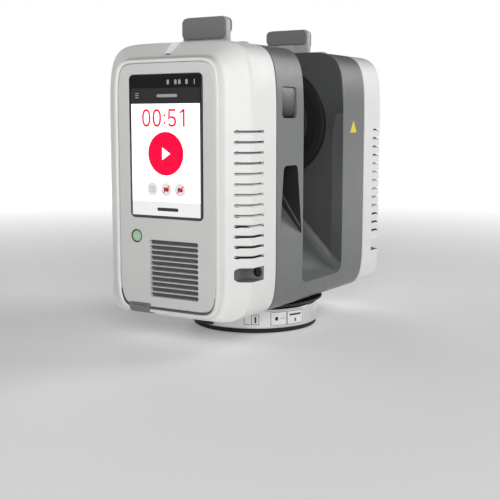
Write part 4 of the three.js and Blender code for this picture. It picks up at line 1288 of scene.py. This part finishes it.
def digit_strokes(digit, x, z, width, height, stroke):
    """The outlines that make up a 0, a 1 or a 5, from its lower left corner."""
    if digit == "1":
        post = [(x + 3.4, z), (x + 3.4 + stroke, z), (x + 3.4 + stroke, z + height),
                (x + 3.4, z + height)]
        flag = [(x + 0.7, z + height - 2.1), (x + 1.1, z + height - 3.1),
                (x + 3.7, z + height - 1.6), (x + 3.6, z + height - 0.1)]
        return [post, flag]
    centre_x = x + width / 2
    if digit == "0":
        return ring_strokes(centre_x, z + height / 2, width / 2, height / 2, stroke, 0, 360)
    belly = ring_strokes(centre_x, z + 3.5, width / 2, 3.5, stroke, -150, 115)
    top = [(x + 1, z + height - stroke), (x + width - 0.6, z + height - stroke),
           (x + width - 0.6, z + height), (x + 1, z + height)]
    side = [(x + 0.55, z + 4.9), (x + 1.7, z + 4.9), (x + 2.1, z + height), (x + 1, z + height)]
    return [*belly, top, side]


def oval_point(cx, cz, rx, rz, angle):
    """A point of a slightly squared oval."""
    c, s = math.cos(angle), math.sin(angle)
    return (cx + rx * math.copysign(abs(c) ** 0.86, c), cz + rz * math.copysign(abs(s) ** 0.86, s))


def ring_strokes(cx, cz, rx, rz, stroke, start, end):
    """A stroke of even width along an ellipse, as short overlapping quadrilaterals."""
    steps = max(12, round(abs(end - start) / 6))
    quads = []
    for step in range(steps):
        a, b = (math.radians(start + (end - start) * k / steps) for k in (step, step + 1))
        outer = [oval_point(cx, cz, rx, rz, t) for t in (a, b)]
        inner = [oval_point(cx, cz, rx - stroke, rz - stroke, t) for t in (b, a)]
        quads.append(outer + inner)
    return quads


def mark_outline():
    """A small triangle with rounded corners, as (y, z) points on the rear tower's right side."""
    y, z = 49.6, 147.3
    half_width, height, radius = 5.85, 9.7, 1.3
    corners = [Vector((y - half_width, z)), Vector((y + half_width, z)), Vector((y, z + height))]
    points = []
    for index, here in enumerate(corners):
        points += soft_corner(corners[index - 1], here, corners[(index + 1) % 3], radius, 4)
    return points


def mark_pocket():
    """The shallow pocket for the mark, in the rear tower's own turned frame."""
    return prism("mark_pocket", [(-y, z) for y, z in reversed(mark_outline())],
                 (-HALF_WIDTH - 1, -HALF_WIDTH + 0.3), "x")


def make_mark():
    """A plain triangle set flush into the rear tower's band."""
    place(prism("plain_mark", mark_outline(), (HALF_WIDTH - 0.29, HALF_WIDTH), "x"), "head",
          mark_yellow)


# ------------------------------------------------------------------ inner pieces


def dress_inner_nodes():
    dress(steel, "azimuth_bearing_outer", "azimuth_bearing_inner", "azimuth_spindle",
          "mirror_shaft", "mirror_bearing", "port_socket")
    dress(copper, "azimuth_motor_stator")
    dress(magnet, "azimuth_motor_rotor", "mirror_motor_housing")
    dress(lens_glass, "azimuth_encoder_disc")
    dress(board_green, "main_board")
    dress(aluminium, "heat_sink")
    dress(black_plastic, "slip_ring", "display_module", "power_switch", "fan_frame", "fan_rotor",
          "right_camera", "left_camera", "laser_unit", "battery_tray")


# ------------------------------------------------------------------ studio


# Places and sizes are in metres from here on, powers in watts and the lens in millimetres.
FLOOR_HALF_WIDTH = 9
BACKDROP_LIGHT = 0.09
LIGHT_TARGET = (0, -0.02, 0.11)
LIGHTS = {"front_right": {"at": (0.9, -1.2, 0.5), "size": (0.8, 0.8), "power": 12.2},
          "left": {"at": (-1.3, -0.3, 0.5), "size": (0.8, 0.8), "power": 2.8},
          "rear_right": {"at": (1.0, 1.2, 0.8), "size": (0.8, 0.9), "power": 11.3},
          "rear_left": {"at": (-1.0, 1.1, 0.7), "size": (0.8, 0.8), "power": 3}}
CAMERA_AT = (0.3855, -0.6325, 0.15585)
CAMERA_AZIMUTH = math.radians(31.66)
CAMERA_DOWN = math.radians(7.68)
CAMERA_LENS = 68.6


def aimed(name, data, location, direction):
    """A light or camera that looks along a direction."""
    holder = linked(name, data)
    holder.location = location
    holder.rotation_euler = direction.to_track_quat("-Z", "Y").to_euler()
    return holder


def make_lights():
    for name, lamp in LIGHTS.items():
        light = bpy.data.lights.new(name, "AREA")
        light.shape = "RECTANGLE"
        light.size, light.size_y = lamp["size"]
        light.energy = lamp["power"]
        aimed(name, light, lamp["at"], Vector(LIGHT_TARGET) - Vector(lamp["at"]))


def floor_glow(finish, distances, strengths):
    """The floor glows more the further it is from the part, like a paper sweep lit from behind."""
    tree = finish.node_tree
    where = tree.nodes.new("ShaderNodeTexCoord")
    distance = tree.nodes.new("ShaderNodeVectorMath")
    distance.operation = "LENGTH"
    tree.links.new(where.outputs["Object"], distance.inputs[0])
    glow = map_range(tree, distance.outputs["Value"], distances, strengths, "SMOOTHSTEP")
    shader = tree.nodes["Principled BSDF"]
    shader.inputs["Emission Color"].default_value = (1, 1, 1, 1)
    tree.links.new(glow, shader.inputs["Emission Strength"])


def make_studio():
    """A pale floor under soft lights, in front of a white backdrop that adds little light."""
    floor_finish = material("floor_paint", (0.93, 0.93, 0.93), 0.6, grain=(300, 0.00002),
                            mottle=0.005, specular=0.1)
    floor_glow(floor_finish, (0.3, 1.7), (0.14, 0.95))
    reach = FLOOR_HALF_WIDTH
    corners = [(-reach, -reach, 0), (reach, -reach, 0), (reach, reach, 0), (-reach, reach, 0)]
    floor = new_piece("floor", corners, [(0, 1, 2, 3)])
    floor.data.materials.append(floor_finish)

    world = bpy.data.worlds.new("studio")
    world.use_nodes = True
    tree = world.node_tree
    backdrop = tree.nodes["Background"]
    backdrop.inputs["Color"].default_value = (1, 1, 1, 1)
    seen = tree.nodes.new("ShaderNodeLightPath")
    level = map_range(tree, seen.outputs["Is Camera Ray"], outputs=(BACKDROP_LIGHT, 1))
    tree.links.new(level, backdrop.inputs["Strength"])
    bpy.context.scene.world = world

    make_lights()
    bpy.context.scene.view_settings.view_transform = "Standard"


def make_camera():
    camera = bpy.data.cameras.new("camera")
    camera.sensor_width = 36
    camera.lens = CAMERA_LENS
    camera.clip_start = 0.01
    level = math.cos(CAMERA_DOWN)
    forward = Vector((-math.sin(CAMERA_AZIMUTH) * level, math.cos(CAMERA_AZIMUTH) * level,
                      -math.sin(CAMERA_DOWN)))
    bpy.context.scene.camera = aimed("camera", camera, CAMERA_AT, forward)


make_base()
make_label()
make_neck()
make_saddle()
make_frames()
make_gaskets()
make_shells()
make_sights()
make_vent_meshes()
make_plate_gap_shades()
make_front_plate()
make_power_button()
make_flap()
make_screws()
make_camera_windows()
make_optics()
make_rear_plate()
make_battery_door()
make_batteries()
make_grips()
make_display()
make_mark()
dress_inner_nodes()
make_studio()
make_camera()
